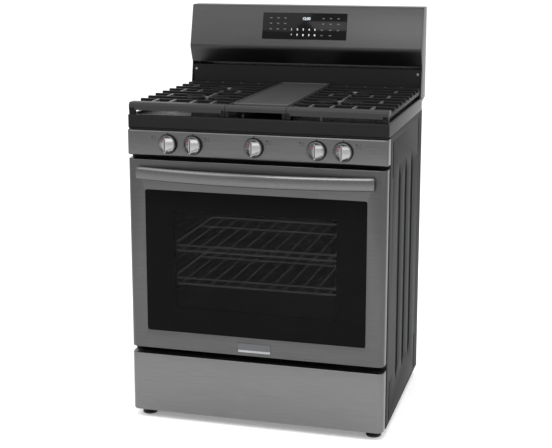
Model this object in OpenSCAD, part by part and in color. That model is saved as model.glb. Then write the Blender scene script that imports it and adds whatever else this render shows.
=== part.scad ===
// Freestanding gas range: cabinet, oven with drop-down door, storage drawer, five burners and backguard.
// Millimetres. X runs across the front, Y runs back from the door's front face, Z is up from the floor.
// Every module draws in that layout, and stand() moves it so that the origin is the footprint's middle.

/* [Overall size] */
// Width across the cabinet
range_w = 759; // [740:1:780]
// Floor to the rim of the cooktop
cooktop_h = 912; // [905:1:925]
// Floor to the top of the backguard
overall_h = 1194; // [1180:1:1230]
// Door face to the back of the cabinet
cabinet_d = 608; // [600:1:640]
// Door face to the back of the backguard
guard_back = 661; // [655:1:700]
// How far the handle stands out of the door face
handle_reach = 57; // [50:1:65]
// Floor to the bottom of the cabinet
foot_h = 24; // [20:1:30]
// Thickness of the cabinet's sheet steel
sheet = 1.2; // [0.8:0.1:1.5]

/* [Door] */
// Bottom edge of the door
door_low = 222; // [218:1:226]
// Top edge of the door
door_high = 785; // [775:1:788]
// Thickness of the door
door_t = 42; // [40:1:43]
// Width of the window
window_w = 650; // [560:1:680]
// Bottom edge of the window
window_low = 277; // [270:1:300]
// Top edge of the window
window_high = 698; // [660:1:700]
// Height of the handle's middle
handle_z = 748; // [735:1:755]
// Depth of the handle's bow
handle_bow = 40; // [25:1:42]

/* [Drawer] */
// Bottom edge of the drawer front
drawer_low = 26; // [25:1:40]
// Top edge of the drawer front
drawer_high = 203; // [190:1:205]
// Depth of the drawer's tray
tray_d = 480; // [400:1:500]

/* [Control panel] */
// Bottom edge of the panel
panel_low = 796; // [792:1:800]
// Top edge of the panel
panel_high = 869; // [865:1:872]
// Height of the knobs' centres
knob_z = 832; // [828:1:836]
// Diameter of a knob
knob_d = 52; // [44:1:54]
// Distance of the inner knobs from the middle one
knob_in = 180; // [150:1:185]
// Distance of the outer knobs from the middle one
knob_out = 255; // [250:1:280]
// How far a knob pushes in
knob_push = 3.5; // [2:0.5:4]

/* [Oven] */
// Width of the oven cavity
cavity_w = 610; // [600:1:616]
// Floor of the oven cavity
cavity_low = 285; // [280:1:290]
// Roof of the oven cavity
cavity_high = 705; // [700:1:710]
// Heights of the two racks
rack_levels = [402, 503];
// Height of the fan's axis
fan_z = 496; // [480:1:520]

/* [Cooktop] */
// Height of the burner deck
deck_z = 905; // [900:1:905]
// Top of the grates
grate_top = 946; // [940:1:950]
// Width of the middle grate and its griddle
centre_w = 177; // [170:1:180]
// Distance of the burners from the middle
burner_x = 201; // [195:1:205]
// Front burners, back from the door face
burner_front_y = 208; // [200:1:215]
// Rear burners, back from the door face
burner_rear_y = 427; // [420:1:435]

/* [Hidden] */

$fn = 48;
CUT = 1;                                    // how far a cutting shape runs past a face
STEEL = "#6f7072";
DARK_STEEL = "#55565a";
BLACK = "#1c1c1e";
ENAMEL = "#2b2b2f";
IRON = "#303032";
RED_BRASS = "#b08d57";

half_w = range_w / 2;
origin_y = (guard_back - handle_reach) / 2; // middle of the footprint, back from the door face
body_front = door_t + 3;                    // front face of the cabinet
front_half_w = half_w - 1.5;                // door and drawer fronts clear the side panels' line
frame_t = 2;                                // front frame plate
frame_back = body_front + frame_t;
skirt_low = cooktop_h - 38;                 // bottom of the cooktop's side skirts
cooktop_front = 13;
cooktop_back = cabinet_d - 8;
rim_w = 14;                                 // rim round the burner deck
rear_rim_w = 32;                            // its wider part at the back, which carries the grates
flange_w = 20;                              // side panels' front flange

// Cabinet feet and base
foot_x = half_w - 36.5;
foot_front_y = 53;
foot_rear_y = cabinet_d - 68;
foot_r = 22;
stem_r = 5;
running = 0.05;                             // radial clearance of a shaft in its hole
base_front = body_front + sheet;            // behind the side panels' front flanges
base_rail_h = 16;
base_half_w = half_w - 6;                   // inside the side panels' pressed channels
boss_r = 9;
boss_top = foot_h + 26;

// Oven
wall = 1.2;                                 // oven liner sheet
cavity_half = cavity_w / 2;
cavity_back = cabinet_d - 48;
rack_half = cavity_half - 13;
rack_front = body_front + 30;
rack_rear = cavity_back - 45;
rack_r = 3;
guide_r = 2.5;
guide_x = cavity_half - 8;
fan_r = 62;
fan_cover_r = 76;

// Hinge
hinge_y = 22;
hinge_z = door_low + 10;
hinge_x = cavity_half + 32.5;
arm_w = 8;
pin_r = 4;
hinge_block_half = 12.5;

// Drawer
front_depth = door_t - 2;
tray_half = half_w - 54.5;
tray_low = 54;
tray_high = 170;
rail_low = 108;
rail_high = 134;

// Controls and gas
panel_front = 6;
knob_xs = [-knob_out, -knob_in, 0, knob_in, knob_out];
knob_face = -24;                            // front of a knob's grip
knob_back = 2;
valve_front = 28;
valve_back = 59;
tube_y = valve_back - 7;                    // burner tubes rise from the valves here
manifold_y = 70;
manifold_r = 11;
spindle_r = 4;
collar_r = 6.5;
tube_z = knob_z + 34;
inlet_x = 262;
inlet_z = 95;
inlet_r = 9.3;
cord_x = -262;
cord_hole_r = 6;
// Burners in the order of the knobs: rear left, front left, middle, rear right, front right
burner_middle_y = (burner_front_y + burner_rear_y) / 2 - 2.5;
burner_at = [
    [-burner_x, burner_rear_y], [-burner_x, burner_front_y], [0, burner_middle_y],
    [burner_x, burner_rear_y], [burner_x, burner_front_y]
];
burner_rs = [36, 42, 26, 38, 48];
oval_half = 75;                             // half the length of the middle burner's straight part
burner_neck_r = 25;

// Grates
grate_front = 18;
grate_back = 583;
grate_in = centre_w / 2 + 1;
grate_out = half_w - 2.5;
bar_w = 10;
rail_w = 12;
bar_h = 14;
bar_count = 8;
bar_pitch = 61;
nose_back = 55;                             // back of the front member
nose_r = 9;                                 // its rounded front
first_bar_y = nose_back + bar_pitch;
griddle_low = grate_top - 6;
griddle_top = grate_top + 5;

// Backguard side outline, as [y, z]
guard_top_front = [601, overall_h];
guard_nose = [567, overall_h - 134];
guard_chin = [582, overall_h - 171];
guard_lip = [589, overall_h - 184];
lower_panel_y = 589;
lower_panel_top = overall_h - 194;
guard_half = half_w - sheet - 0.3;
glass_half = 138;
glass_low = overall_h - 105.5;
glass_high = overall_h - 23;

// ---------------------------------------------------------------- helpers

// Moves a piece from the door-face layout to the object's own frame
module stand(shade) color(shade) translate([0, -origin_y, 0]) children();

// A box between two opposite corners
module span(low, high) translate(low) cube(high - low);

module mirrored() {
    children();
    mirror([1, 0, 0]) children();
}

module along_x(x0, x1, y, z, r) translate([x0, y, z]) rotate([0, 90, 0]) cylinder(r = r, h = x1 - x0);

module along_y(x, y0, y1, z, r) translate([x, y0, z]) rotate([-90, 0, 0]) cylinder(r = r, h = y1 - y0);

module along_z(x, y, z0, z1, r) translate([x, y, z0]) cylinder(r = r, h = z1 - z0);

// A straight round rod from one point to another
module rod(from, to, r) {
    run = to - from;
    translate(from)
        rotate([0, acos(run.z / norm(run)), atan2(run.y, run.x)])
            cylinder(r = r, h = norm(run));
}

// A round tube or wire along a list of points, with ball corners
module piped(points, r, ball_r) {
    for (i = [1:len(points) - 1]) rod(points[i - 1], points[i], r);
    for (i = [1:len(points) - 2]) translate(points[i]) sphere(r = ball_r);
}

// An outline given as [y, z], run along X
module side_outline(x0, x1, points)
    translate([x0, 0, 0]) rotate([90, 0, 90]) linear_extrude(x1 - x0) polygon(points);

// A frame round an opening, standing in the plane of the front: half widths, then heights
module front_ring(y0, y1, half_out, z_out, half_in, z_in) {
    difference() {
        span([-half_out, y0, z_out[0]], [half_out, y1, z_out[1]]);
        span([-half_in, y0 - CUT, z_in[0]], [half_in, y1 + CUT, z_in[1]]);
    }
}

// ---------------------------------------------------------------- cabinet

module foot_places() {
    for (x = [-foot_x, foot_x], y = [foot_front_y, foot_rear_y]) translate([x, y, 0]) children();
}

// Bottom pan with a rail down each side and a threaded boss over each foot
module base_pan() stand(DARK_STEEL) {
    difference() {
        union() {
            span([-base_half_w, base_front, foot_h], [base_half_w, cabinet_d - 4, foot_h + sheet]);
            mirrored() {
                difference() {
                    span([base_half_w - 45, base_front, foot_h],
                         [base_half_w, cabinet_d - 4, foot_h + base_rail_h]);
                    span([base_half_w - 45 + sheet, base_front + sheet, foot_h + sheet],
                         [base_half_w - sheet, cabinet_d - 4 - sheet, foot_h + base_rail_h + CUT]);
                }
                span([base_half_w - 14, 92, foot_h - 13], [base_half_w - 1, 140, foot_h]);
            }
            foot_places() along_z(0, 0, foot_h, boss_top, boss_r);
        }
        foot_places() along_z(0, 0, foot_h - CUT, boss_top + CUT, stem_r + running);
    }
}

// A levelling foot: round pad, hexagon and screwed stem
module foot(x_side, y) stand(BLACK) translate([x_side * foot_x, y, 0]) {
    along_z(0, 0, 0, 5, foot_r);
    translate([0, 0, 5]) cylinder(r1 = foot_r, r2 = 14, h = 5);
    translate([0, 0, 10]) cylinder(r = 12, h = foot_h - 13, $fn = 6);
    along_z(0, 0, foot_h - 4, boss_top + 22, stem_r);
}

// Pointed or square pressed channel in a side panel, as [y, z] points, grown by a margin
function channel_outline(y, z0, z1, w, point, grow) = let (h = w / 2 + grow) [
    [y - h, z0 + point - grow], [y, z0 - grow], [y + h, z0 + point - grow],
    [y + h, z1 - point + grow], [y, z1 + grow], [y - h, z1 - point + grow]
];

channel_depth = 4;
slit_w = 10;
long_w = 34;
front_slit_y = body_front + 43;
rear_slit_y = cabinet_d - 68;
long_channel_ys = [202, 312, 422];
channels = concat(
    [for (y = long_channel_ys) [y, 120, 770, long_w, 40]],
    [for (y = [front_slit_y, rear_slit_y], z = [[36, 154], [748, 856]]) [y, z[0], z[1], slit_w, 3]]
);

module side_panel() {
    difference() {
        union() {
            span([half_w - sheet, body_front, foot_h], [half_w, cabinet_d, skirt_low]);
            span([half_w - flange_w, body_front, foot_h],
                 [half_w - sheet / 2, body_front + sheet, skirt_low]);
            span([half_w - 16, cabinet_d - sheet, foot_h],
                 [half_w - sheet / 2, cabinet_d, skirt_low]);
            for (c = channels)
                side_outline(half_w - channel_depth - sheet, half_w - sheet / 2,
                             channel_outline(c[0], c[1], c[2], c[3], c[4], sheet));
        }
        for (c = channels)
            side_outline(half_w - channel_depth, half_w + CUT,
                         channel_outline(c[0], c[1], c[2], c[3], c[4], 0));
    }
}

module side_panels() stand(ENAMEL) mirrored() side_panel();

// Rear sheet with louvres, an open corner for the gas pipe and a collar for the power cord,
// and the backguard's rear sheet
module rear_panels() stand("#8b8d90") {
    rear_half = half_w - 17;
    difference() {
        union() {
            span([-rear_half, cabinet_d - sheet, 42], [rear_half, cabinet_d, skirt_low]);
            along_y(cord_x, cabinet_d - 8, cabinet_d + 4, inlet_z, cord_hole_r + 5);
        }
        along_y(cord_x, cabinet_d - 8 - CUT, cabinet_d + 4 + CUT, inlet_z, cord_hole_r);
        span([inlet_x - 42, cabinet_d - sheet - CUT, 42 - CUT],
             [rear_half + CUT, cabinet_d + CUT, inlet_z + 60]);
        for (x = [-210:140:210], row = [0:3])
            span([x - 50, cabinet_d - sheet - CUT, 760 + 24 * row],
                 [x + 50, cabinet_d + CUT, 766 + 24 * row]);
    }
    span([-guard_half, guard_back - sheet, 908], [guard_half, guard_back, overall_h - sheet]);
}

// Front frame of the cabinet, round the oven mouth, with slots for the hinge arms
module front_frame() stand(ENAMEL) {
    frame_half = half_w - flange_w - 0.5;
    difference() {
        front_ring(body_front, frame_back, frame_half, [212, panel_low - 1],
                   cavity_half, [cavity_low, cavity_high]);
        mirrored() span([hinge_x - 6.5, body_front - CUT, hinge_z - 10],
                        [hinge_x + 6.5, frame_back + CUT, hinge_z + 12]);
    }
}

// ---------------------------------------------------------------- oven

module oven_side_walls() stand(ENAMEL)
    mirrored() span([cavity_half, frame_back, cavity_low], [cavity_half + wall, cavity_back, cavity_high]);

module oven_roof() stand(ENAMEL)
    span([-cavity_half - wall, frame_back, cavity_high],
         [cavity_half + wall, cavity_back, cavity_high + wall]);

// Oven floor with a row of slots near each wall
module oven_floor() stand(ENAMEL) difference() {
    span([-cavity_half - wall, frame_back, cavity_low - wall],
         [cavity_half + wall, cavity_back, cavity_low]);
    for (x = [-cavity_half + 20, cavity_half - 28], y = [90:75:465])
        span([x, y, cavity_low - wall - CUT], [x + 8, y + 55, cavity_low + CUT]);
}

module oven_back() stand(ENAMEL) difference() {
    span([-cavity_half - wall, cavity_back, cavity_low - wall],
         [cavity_half + wall, cavity_back + wall, cavity_high + wall]);
    along_y(0, cavity_back - CUT, cavity_back + wall + CUT, fan_z, 10);
}

// Wire ladders that the racks slide on, one on each wall
module rack_guides() stand("#9a9b9d") mirrored() {
    level_pitch = (rack_levels[1] - rack_levels[0]) / 2;
    first_ledge_z = rack_levels[0] - rack_r - guide_r - 0.3;
    for (level = [-1:3])
        along_y(guide_x, rack_front - 5, rack_rear + 20, first_ledge_z + level * level_pitch, guide_r);
    for (y = [110, 490]) {
        along_z(guide_x + 4.3, y, rack_levels[0] - 90, rack_levels[1] + 65, guide_r);
        for (z = [rack_levels[0] - 90, rack_levels[1] + 65])
            along_x(guide_x + 2, cavity_half, y, z, guide_r);
    }
}

// Glass-fibre blanket over the roof and sides of the cavity
module oven_insulation() stand("#d8cfa8") difference() {
    span([-cavity_half - 28, 60, cavity_low + 1], [cavity_half + 28, cavity_back - 5, cavity_high + 33]);
    span([-cavity_half - 4, 60 - CUT, cavity_low - CUT], [cavity_half + 4, cavity_back, cavity_high + 3]);
}

// Bake burner under the oven floor and broil burner under the roof
module oven_burners() stand("#a6a6a2") {
    bake_z = cavity_low - 30;
    broil_z = cavity_high - 15;
    piped([[-180, cabinet_d - sheet, bake_z], [-180, 120, bake_z], [180, 120, bake_z],
           [180, cabinet_d - sheet, bake_z]], 8, 8);
    piped([[-150, cavity_back, broil_z], [-150, 150, broil_z], [150, 150, broil_z],
           [150, cavity_back, broil_z]], 6, 6);
}

module oven_lamp() stand("#f3efe0") difference() {
    along_y(-220, cavity_back - 16, cavity_back, cavity_high - 60, 24);
    along_y(-220, cavity_back - 14, cavity_back + CUT, cavity_high - 60, 20);
}

// Convection fan cover: a shallow round dish with radial slots
module fan_cover() stand("#3b3b3f") difference() {
    along_y(0, cavity_back - 32, cavity_back, fan_z, fan_cover_r);
    along_y(0, cavity_back - 32 + wall, cavity_back + CUT, fan_z, fan_cover_r - wall);
    for (turn = [0:30:330])
        translate([0, cavity_back - 32, fan_z]) rotate([0, turn, 0])
            span([-2.5, -CUT, 22], [2.5, wall + CUT, 60]);
}

module fan_motor() stand("#77787c") difference() {
    union() {
        span([-45, cavity_back + wall, fan_z - 20], [45, cavity_back + wall + 2, fan_z + 20]);
        along_y(0, cavity_back + wall + 2, cabinet_d - 12, fan_z, 30);
    }
    along_y(0, cavity_back, cavity_back + wall + 8, fan_z, 10);
    along_y(0, cavity_back + wall + 7, cavity_back + 24, fan_z, spindle_r + running);
}

// Fan wheel with its shaft: a disc with straight blades
module fan_blade() stand("#8d8e91") {
    along_y(0, cavity_back - 24, cavity_back - 6, fan_z, 11);
    along_y(0, cavity_back - 8, cavity_back - 6, fan_z, fan_r);
    for (turn = [0:30:330])
        translate([0, 0, fan_z]) rotate([0, turn, 0])
            span([-0.8, cavity_back - 24, 9], [0.8, cavity_back - 7, fan_r - 1]);
    along_y(0, cavity_back - 7, cavity_back + 22, fan_z, spindle_r);
}

module rack(level) stand("#b9babc") {
    piped([[0, rack_front, level], [-rack_half, rack_front, level], [-rack_half, rack_rear, level],
           [rack_half, rack_rear, level], [rack_half, rack_front, level], [0, rack_front, level]],
          rack_r, rack_r);
    for (x = [-5.5:5.5]) along_y(x * rack_half / 6.5, rack_front, rack_rear, level, 2);
    for (y = [rack_front + 60, rack_rear - 130])
        along_x(-rack_half, rack_half, y, level, 2.4);
}

module door_gasket() stand("#26262a")
    front_ring(door_t + 0.3, body_front, cavity_half + 15, [cavity_low - 15, cavity_high + 15],
               cavity_half + 4, [cavity_low - 4, cavity_high + 4]);

// Hinge arms fixed behind the front frame, each with its pin across its eye
module hinge_arms() stand("#a2a3a6") mirrored() {
    span([hinge_x - arm_w / 2, hinge_y, hinge_z - 6], [hinge_x + arm_w / 2, frame_back + 12, hinge_z + 6]);
    along_x(hinge_x - arm_w / 2, hinge_x + arm_w / 2, hinge_y, hinge_z, 8);
    along_x(hinge_x - hinge_block_half + 1, hinge_x + hinge_block_half - 1, hinge_y, hinge_z, pin_r);
    span([hinge_x - hinge_block_half, frame_back, hinge_z - 15],
         [hinge_x + hinge_block_half, frame_back + 3, hinge_z + 60]);
}

// ---------------------------------------------------------------- door

module door_skin() stand(STEEL) difference() {
    span([-front_half_w, 0, door_low], [front_half_w, door_t - 4, door_high]);
    span([-front_half_w + sheet, sheet, door_low + sheet],
         [front_half_w - sheet, door_t, door_high - sheet]);
    span([-window_w / 2, -CUT, window_low], [window_w / 2, sheet + CUT, window_high]);
    mirrored() span([hinge_x - 6, hinge_y - 10, door_low - CUT],
                    [hinge_x + 6, door_t, door_low + sheet + CUT]);
}

module door_glass_outer() stand(BLACK)
    span([-window_w / 2 - 15, sheet, window_low - 13], [window_w / 2 + 15, sheet + 4, window_high + 13]);

module door_insulation() stand("#d8cfa8")
    front_ring(8, 33, cavity_half + 10, [door_low + 42, door_high - 10], 262, [328, 662]);

module door_glass_inner() stand("#3a3f42") span([-262, 34.5, 328], [262, door_t - 3, 662]);

// Inner door panel with its window and the blocks that turn on the hinge pins
module door_liner() stand(ENAMEL) difference() {
    union() {
        front_ring(door_t - 3, door_t, front_half_w - 4, [door_low + 4, door_high - 4], 245, [345, 645]);
        mirrored() span([hinge_x - hinge_block_half, 8, door_low + 3],
                        [hinge_x + hinge_block_half, door_t - 2, hinge_z + 26]);
    }
    mirrored() {
        span([hinge_x - 5.5, hinge_y - 9, door_low - CUT], [hinge_x + 5.5, door_t + CUT, hinge_z + 9]);
        along_x(hinge_x - hinge_block_half - CUT, hinge_x + hinge_block_half + CUT, hinge_y, hinge_z,
                pin_r + running);
    }
}

// The handle is a bar bowed on a large arc, so it is turned about a far vertical axis
handle_half = half_w - 34.5;
handle_depth = 16;
handle_h = 38;
handle_arc_r = (handle_half * handle_half + handle_bow * handle_bow) / (2 * handle_bow);
handle_mid_y = -handle_reach + handle_depth / 2;
handle_turn = asin(handle_half / handle_arc_r);
handle_outline = [for (a = [0:18:342]) [
    handle_arc_r + handle_depth / 2 * cos(a), handle_h / 2 * sign(sin(a)) * pow(abs(sin(a)), 0.8)
]];

module handle_bar()
    translate([0, handle_mid_y + handle_arc_r, handle_z])
        rotate([0, 0, -90 - handle_turn])
            rotate_extrude(angle = 2 * handle_turn, $fn = 200) polygon(handle_outline);

module door_handle() stand("#77787b") handle_bar();

// The bar's inner face at a distance x from the middle
function handle_inner(x) = handle_mid_y + handle_arc_r
    - sqrt(pow(handle_arc_r - handle_depth / 2, 2) - x * x);

// Stand-offs between the bar's ends and the door
module handle_brackets() stand(DARK_STEEL) mirrored() {
    x_in = handle_half - 26;
    x_out = handle_half - 3;
    translate([0, 0, handle_z - 14]) linear_extrude(28)
        polygon([[x_in, 0], [x_in, handle_inner(x_in)], [x_out, handle_inner(x_out)], [x_out, 0]]);
}

// Blank plate under the window
module badge_plate() stand("#c9cacb") span([-50, -1.5, 231], [50, 0, 261]);

// ---------------------------------------------------------------- drawer

module drawer_front() stand("#85868a") {
    difference() {
        span([-front_half_w, 0, drawer_low], [front_half_w, front_depth, drawer_high]);
        span([-front_half_w + sheet, sheet, drawer_low + sheet],
             [front_half_w - sheet, front_depth + CUT, drawer_high - sheet]);
    }
    span([-front_half_w + sheet / 2, front_depth - sheet, drawer_low + 14],
         [front_half_w - sheet / 2, front_depth, drawer_high - 14]);
}

module drawer_tray() stand("#6b6c70") {
    difference() {
        span([-tray_half, front_depth, tray_low], [tray_half, front_depth + tray_d, tray_high]);
        span([-tray_half + sheet, front_depth + sheet, tray_low + sheet],
             [tray_half - sheet, front_depth + tray_d - sheet, tray_high + CUT]);
    }
    mirrored() span([tray_half - sheet / 2, front_depth + 20, rail_low + 7],
                    [tray_half + 27, front_depth + tray_d - 10, rail_high - 7]);
}

// Channel rails on the side panels that carry the drawer's runners
module drawer_rails() stand("#a2a3a6") mirrored() {
    difference() {
        span([tray_half + 15, frame_back + 5, rail_low], [tray_half + 32, front_depth + tray_d, rail_high]);
        span([tray_half + 15 - CUT, frame_back + 5 - CUT, rail_low + 5],
             [tray_half + 29, front_depth + tray_d + CUT, rail_high - 5]);
    }
    for (y = [140, 470])
        span([tray_half + 31, y, rail_low + 3], [half_w - sheet, y + 20, rail_high - 3]);
}

// ---------------------------------------------------------------- controls and gas

module control_panel() stand(STEEL) difference() {
    span([-half_w, panel_front, panel_low], [half_w, body_front, panel_high]);
    span([-half_w + sheet, panel_front + sheet, panel_low + sheet],
         [half_w - sheet, body_front + CUT, panel_high - sheet]);
    for (x = knob_xs) along_y(x, panel_front - CUT, panel_front + sheet + CUT, knob_z, spindle_r + 2);
}

module gas_manifold() stand("#8f9092") {
    riser_x = half_w - 27.5;
    riser_y = cabinet_d - 18;
    along_x(-knob_out - 40, riser_x - 18, manifold_y, knob_z, manifold_r);
    piped([[riser_x - 20, manifold_y, knob_z], [riser_x, manifold_y, knob_z], [riser_x, riser_y, knob_z],
           [riser_x, riser_y, inlet_z], [inlet_x + 24, riser_y, inlet_z]], 7, 7);
}

// Gas valves: a block in front of the manifold, bored for its sprung spindle
module valve_bodies() stand(RED_BRASS) for (x = knob_xs) difference() {
    span([x - 12, valve_front, knob_z - 14], [x + 12, valve_back, knob_z + 16]);
    along_y(x, valve_front - CUT, valve_front + 6, knob_z, spindle_r + running);
    along_y(x, valve_front + 5, valve_front + 24, knob_z, collar_r + 0.5);
}

// Spindle of a gas valve, pushed in before it turns
module valve_stem(i) stand("#c8b37a") {
    along_y(knob_xs[i], knob_face + 9, valve_front + 15, knob_z, spindle_r);
    along_y(knob_xs[i], valve_front + 8, valve_front + 12, knob_z, collar_r);
}

module knob(i) stand("#8e8f92") translate([knob_xs[i], 0, knob_z]) difference() {
    union() {
        along_y(0, -7, knob_back, 0, knob_d / 2);
        intersection() {
            along_y(0, knob_face, -6, 0, knob_d / 2 - 1);
            span([-7, knob_face, -knob_d / 2], [7, -6, knob_d / 2]);
        }
    }
    along_y(0, knob_face + 8, knob_back + CUT, 0, spindle_r + running);
}

// Pipes from each valve up and back to its burner, with a fatter joint at each bend
module burner_tubes() stand("#b5b6b8") for (i = [0:4])
    piped([[knob_xs[i], tube_y, knob_z + 16], [knob_xs[i], tube_y, tube_z],
           [burner_at[i].x, burner_at[i].y, tube_z], [burner_at[i].x, burner_at[i].y, deck_z - 25]],
          4.5, 6.5);

// A round burner head, or a long one when half is over zero
module burner_head(r, half, z0, z1) {
    for (y = [-half, half]) along_z(0, y, z0, z1, r);
    if (half > 0) span([-r, -half, z0], [r, half, z1]);
}

module burner_bases() stand("#9b9c9e") for (i = [0:4]) translate([burner_at[i].x, burner_at[i].y, 0]) {
    half = i == 2 ? oval_half : 0;
    along_z(0, 0, deck_z - 25, deck_z + 2, burner_neck_r);
    burner_head(burner_rs[i], half, deck_z, deck_z + 12);
}

module burner_caps() stand(BLACK) for (i = [0:4]) translate([burner_at[i].x, burner_at[i].y, 0]) {
    half = i == 2 ? oval_half : 0;
    burner_head(burner_rs[i] - 3, half, deck_z + 12, deck_z + 17);
    burner_head(burner_rs[i] - 8, half, deck_z + 16, deck_z + 19);
}

// Pressed cooktop: rim, recessed burner deck, front band and side skirts
module cooktop() stand(BLACK) difference() {
    union() {
        span([-half_w, cooktop_front, skirt_low], [half_w, cooktop_back, cooktop_h]);
        span([-half_w, cooktop_front, panel_high + 0.5], [half_w, cooktop_front + sheet, skirt_low + CUT]);
    }
    span([-half_w + sheet, cooktop_front + sheet, skirt_low - CUT],
         [half_w - sheet, cooktop_back - sheet, deck_z - sheet]);
    span([-half_w + rim_w, cooktop_front + rim_w - 2, deck_z],
         [half_w - rim_w, cooktop_back - rear_rim_w, cooktop_h + CUT]);
    for (at = burner_at) along_z(at.x, at.y, deck_z - sheet - CUT, deck_z + CUT, burner_neck_r + 2);
}

// Gas pressure regulator with the threaded inlet at the back
module pressure_regulator() stand("#b0a98f") difference() {
    union() {
        span([inlet_x - 26, cabinet_d - 46, inlet_z - 14], [inlet_x + 24, cabinet_d - 14, inlet_z + 14]);
        along_z(inlet_x, cabinet_d - 30, inlet_z + 14, inlet_z + 30, 15);
        along_y(inlet_x, cabinet_d - 14, cabinet_d - 3, inlet_z, 13);
    }
    along_y(inlet_x, cabinet_d - 20, cabinet_d - 3 + CUT, inlet_z, inlet_r);
}

// ---------------------------------------------------------------- cooktop grates

module leg(x, y, top) span([x - 6, y - 6, cooktop_h], [x + 6, y + 6, top]);

// Front member of a grate: a wide flat top, a round nose and a skirt
module grate_nose(x0, x1, back, low) {
    side_outline(x0, x1, concat(
        [[back, grate_top], [back, grate_top - bar_h], [grate_front + rail_w, grate_top - bar_h],
         [grate_front + rail_w, low], [grate_front, low]],
        [for (a = [180:-15:90]) [grate_front, grate_top] + nose_r * [1 + cos(a), sin(a) - 1]]
    ));
}

// A small hub over a burner with arms that reach the bars round it
module star(y) translate([burner_x, y, grate_top - 11]) {
    cylinder(r = 12, h = 10);
    for (turn = [0, 45, 135, 180, 225, 315]) rotate([0, 0, turn]) translate([0, -3.5, 0]) cube([66, 7, 10]);
}

// Short link between two cross bars, at each distance from the middle
module links(xs, y0, y1)
    for (x = xs) span([x - 4, y0, grate_top - 12], [x + 4, y1, grate_top]);

// A side grate, drawn for the right side: nose, rails, cross bars, stars, links and legs
module side_grate() {
    low = grate_top - bar_h;
    bars = [for (i = [0:bar_count - 1]) first_bar_y + bar_pitch * i];
    difference() {
        union() {
            span([grate_in, grate_front + 20, low - 6], [grate_in + rail_w, grate_back, grate_top]);
            span([grate_out - rail_w, grate_front + 20, low - 8],
                 [grate_out - 1, grate_back - 1, grate_top - 9]);
            span([grate_in, grate_back - rail_w, low - 8], [grate_out, grate_back, grate_top]);
            for (y = bars) span([grate_in + 1, y - bar_w / 2, low], [grate_out, y + bar_w / 2, grate_top]);
            links([320], bars[1], bars[2]);
            links([145, 268, 320], bars[3], bars[4]);
            links([320], bars[5], bars[6]);
        }
        for (y = [burner_front_y, burner_rear_y])
            along_z(burner_x, y, low - 10, grate_top + CUT, 34);
    }
    grate_nose(grate_in, grate_out, nose_back, low - 8);
    links([145, 205, 268, 320], nose_back - CUT, bars[0]);
    links([145, 205, 268, 320], bars[bar_count - 1], grate_back - 2);
    span([burner_x - 3.5, burner_front_y, low + 2], [burner_x + 3.5, bars[4], grate_top - 1]);
    for (y = [burner_front_y, burner_rear_y]) star(y);
    for (x = [grate_in + 6, grate_out - 7], y = [grate_front + 6, grate_back - 7]) leg(x, y, low);
}

module grate_right() stand(IRON) side_grate();

module grate_left() stand(IRON) mirror([1, 0, 0]) side_grate();

// The middle grate: its left rail shows beside the griddle, and the rest carries the griddle
module grate_centre() stand(IRON) {
    half = centre_w / 2;
    low = griddle_low - 16;
    span([-half, grate_front + 20, low], [-half + rail_w, grate_back, grate_top]);
    span([half - rail_w, grate_front + 20, low], [half, grate_back, griddle_low]);
    for (y = [130, 230, 355, 460, grate_back - rail_w])
        span([-half + 1, y, low + 2], [half - 1, y + rail_w, griddle_low]);
    grate_nose(-half, half, nose_back - 12, low + 6);
    mirrored() for (y = [grate_front + 6, grate_back - 7]) leg(half - 6, y, low + 8);
}

// Griddle plate with a raised edge, with a finger gap on its left
module griddle() stand(IRON) difference() {
    low = [-centre_w / 2 + rail_w + 5, nose_back - 11, griddle_low];
    high = [centre_w / 2 - 0.5, grate_back - 6, griddle_top];
    span(low, high);
    span([low.x + 6, low.y + 8, griddle_top - 3], [high.x - 6, high.y - 10, griddle_top + CUT]);
}

// ---------------------------------------------------------------- backguard

// The console's outer face from the back of its top to its lip, as [y, z]
console_outer = [[guard_back - sheet, overall_h], guard_top_front, guard_nose, guard_chin, guard_lip];
console_inner = [
    guard_lip + [1.2 * sheet, 0], guard_chin + [1.2 * sheet, 0], guard_nose + [1.2 * sheet, 0],
    guard_top_front + [sheet, -sheet], [guard_back - sheet, overall_h - sheet]
];

module backguard_console() stand(STEEL)
    side_outline(-guard_half, guard_half, concat(console_outer, console_inner));

// A point on the console's sloping face at a given height, stood off along its normal
guard_slope = (guard_top_front - guard_nose) / norm(guard_top_front - guard_nose);
function on_console(z, off) = guard_nose + guard_slope * (z - guard_nose.y) / guard_slope.y
    + off * [-guard_slope.y, guard_slope.x];

module touch_glass() stand(BLACK)
    side_outline(-glass_half, glass_half,
                 [on_console(glass_low, 0), on_console(glass_high, 0),
                  on_console(glass_high, 2), on_console(glass_low, 2)]);

module backguard_lower_panel() stand(ENAMEL) {
    span([-guard_half, lower_panel_y, cooktop_h], [guard_half, lower_panel_y + sheet, lower_panel_top]);
    span([-guard_half, lower_panel_y, lower_panel_top - sheet],
         [guard_half, guard_back - 10, lower_panel_top]);
}

module backguard_end_caps() stand("#606164") mirrored()
    side_outline(half_w - sheet, half_w, [
        guard_top_front, guard_nose, guard_chin, guard_lip, [lower_panel_y - 1, lower_panel_top],
        [575, cooktop_h + 20], [575, cooktop_h], [cooktop_back + 0.5, cooktop_h],
        [cooktop_back + 0.5, cooktop_h - 9], [612, cooktop_h - 12], [guard_back, cooktop_h - 4],
        [guard_back, overall_h]
    ]);

// ---------------------------------------------------------------- one line for each node

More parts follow.
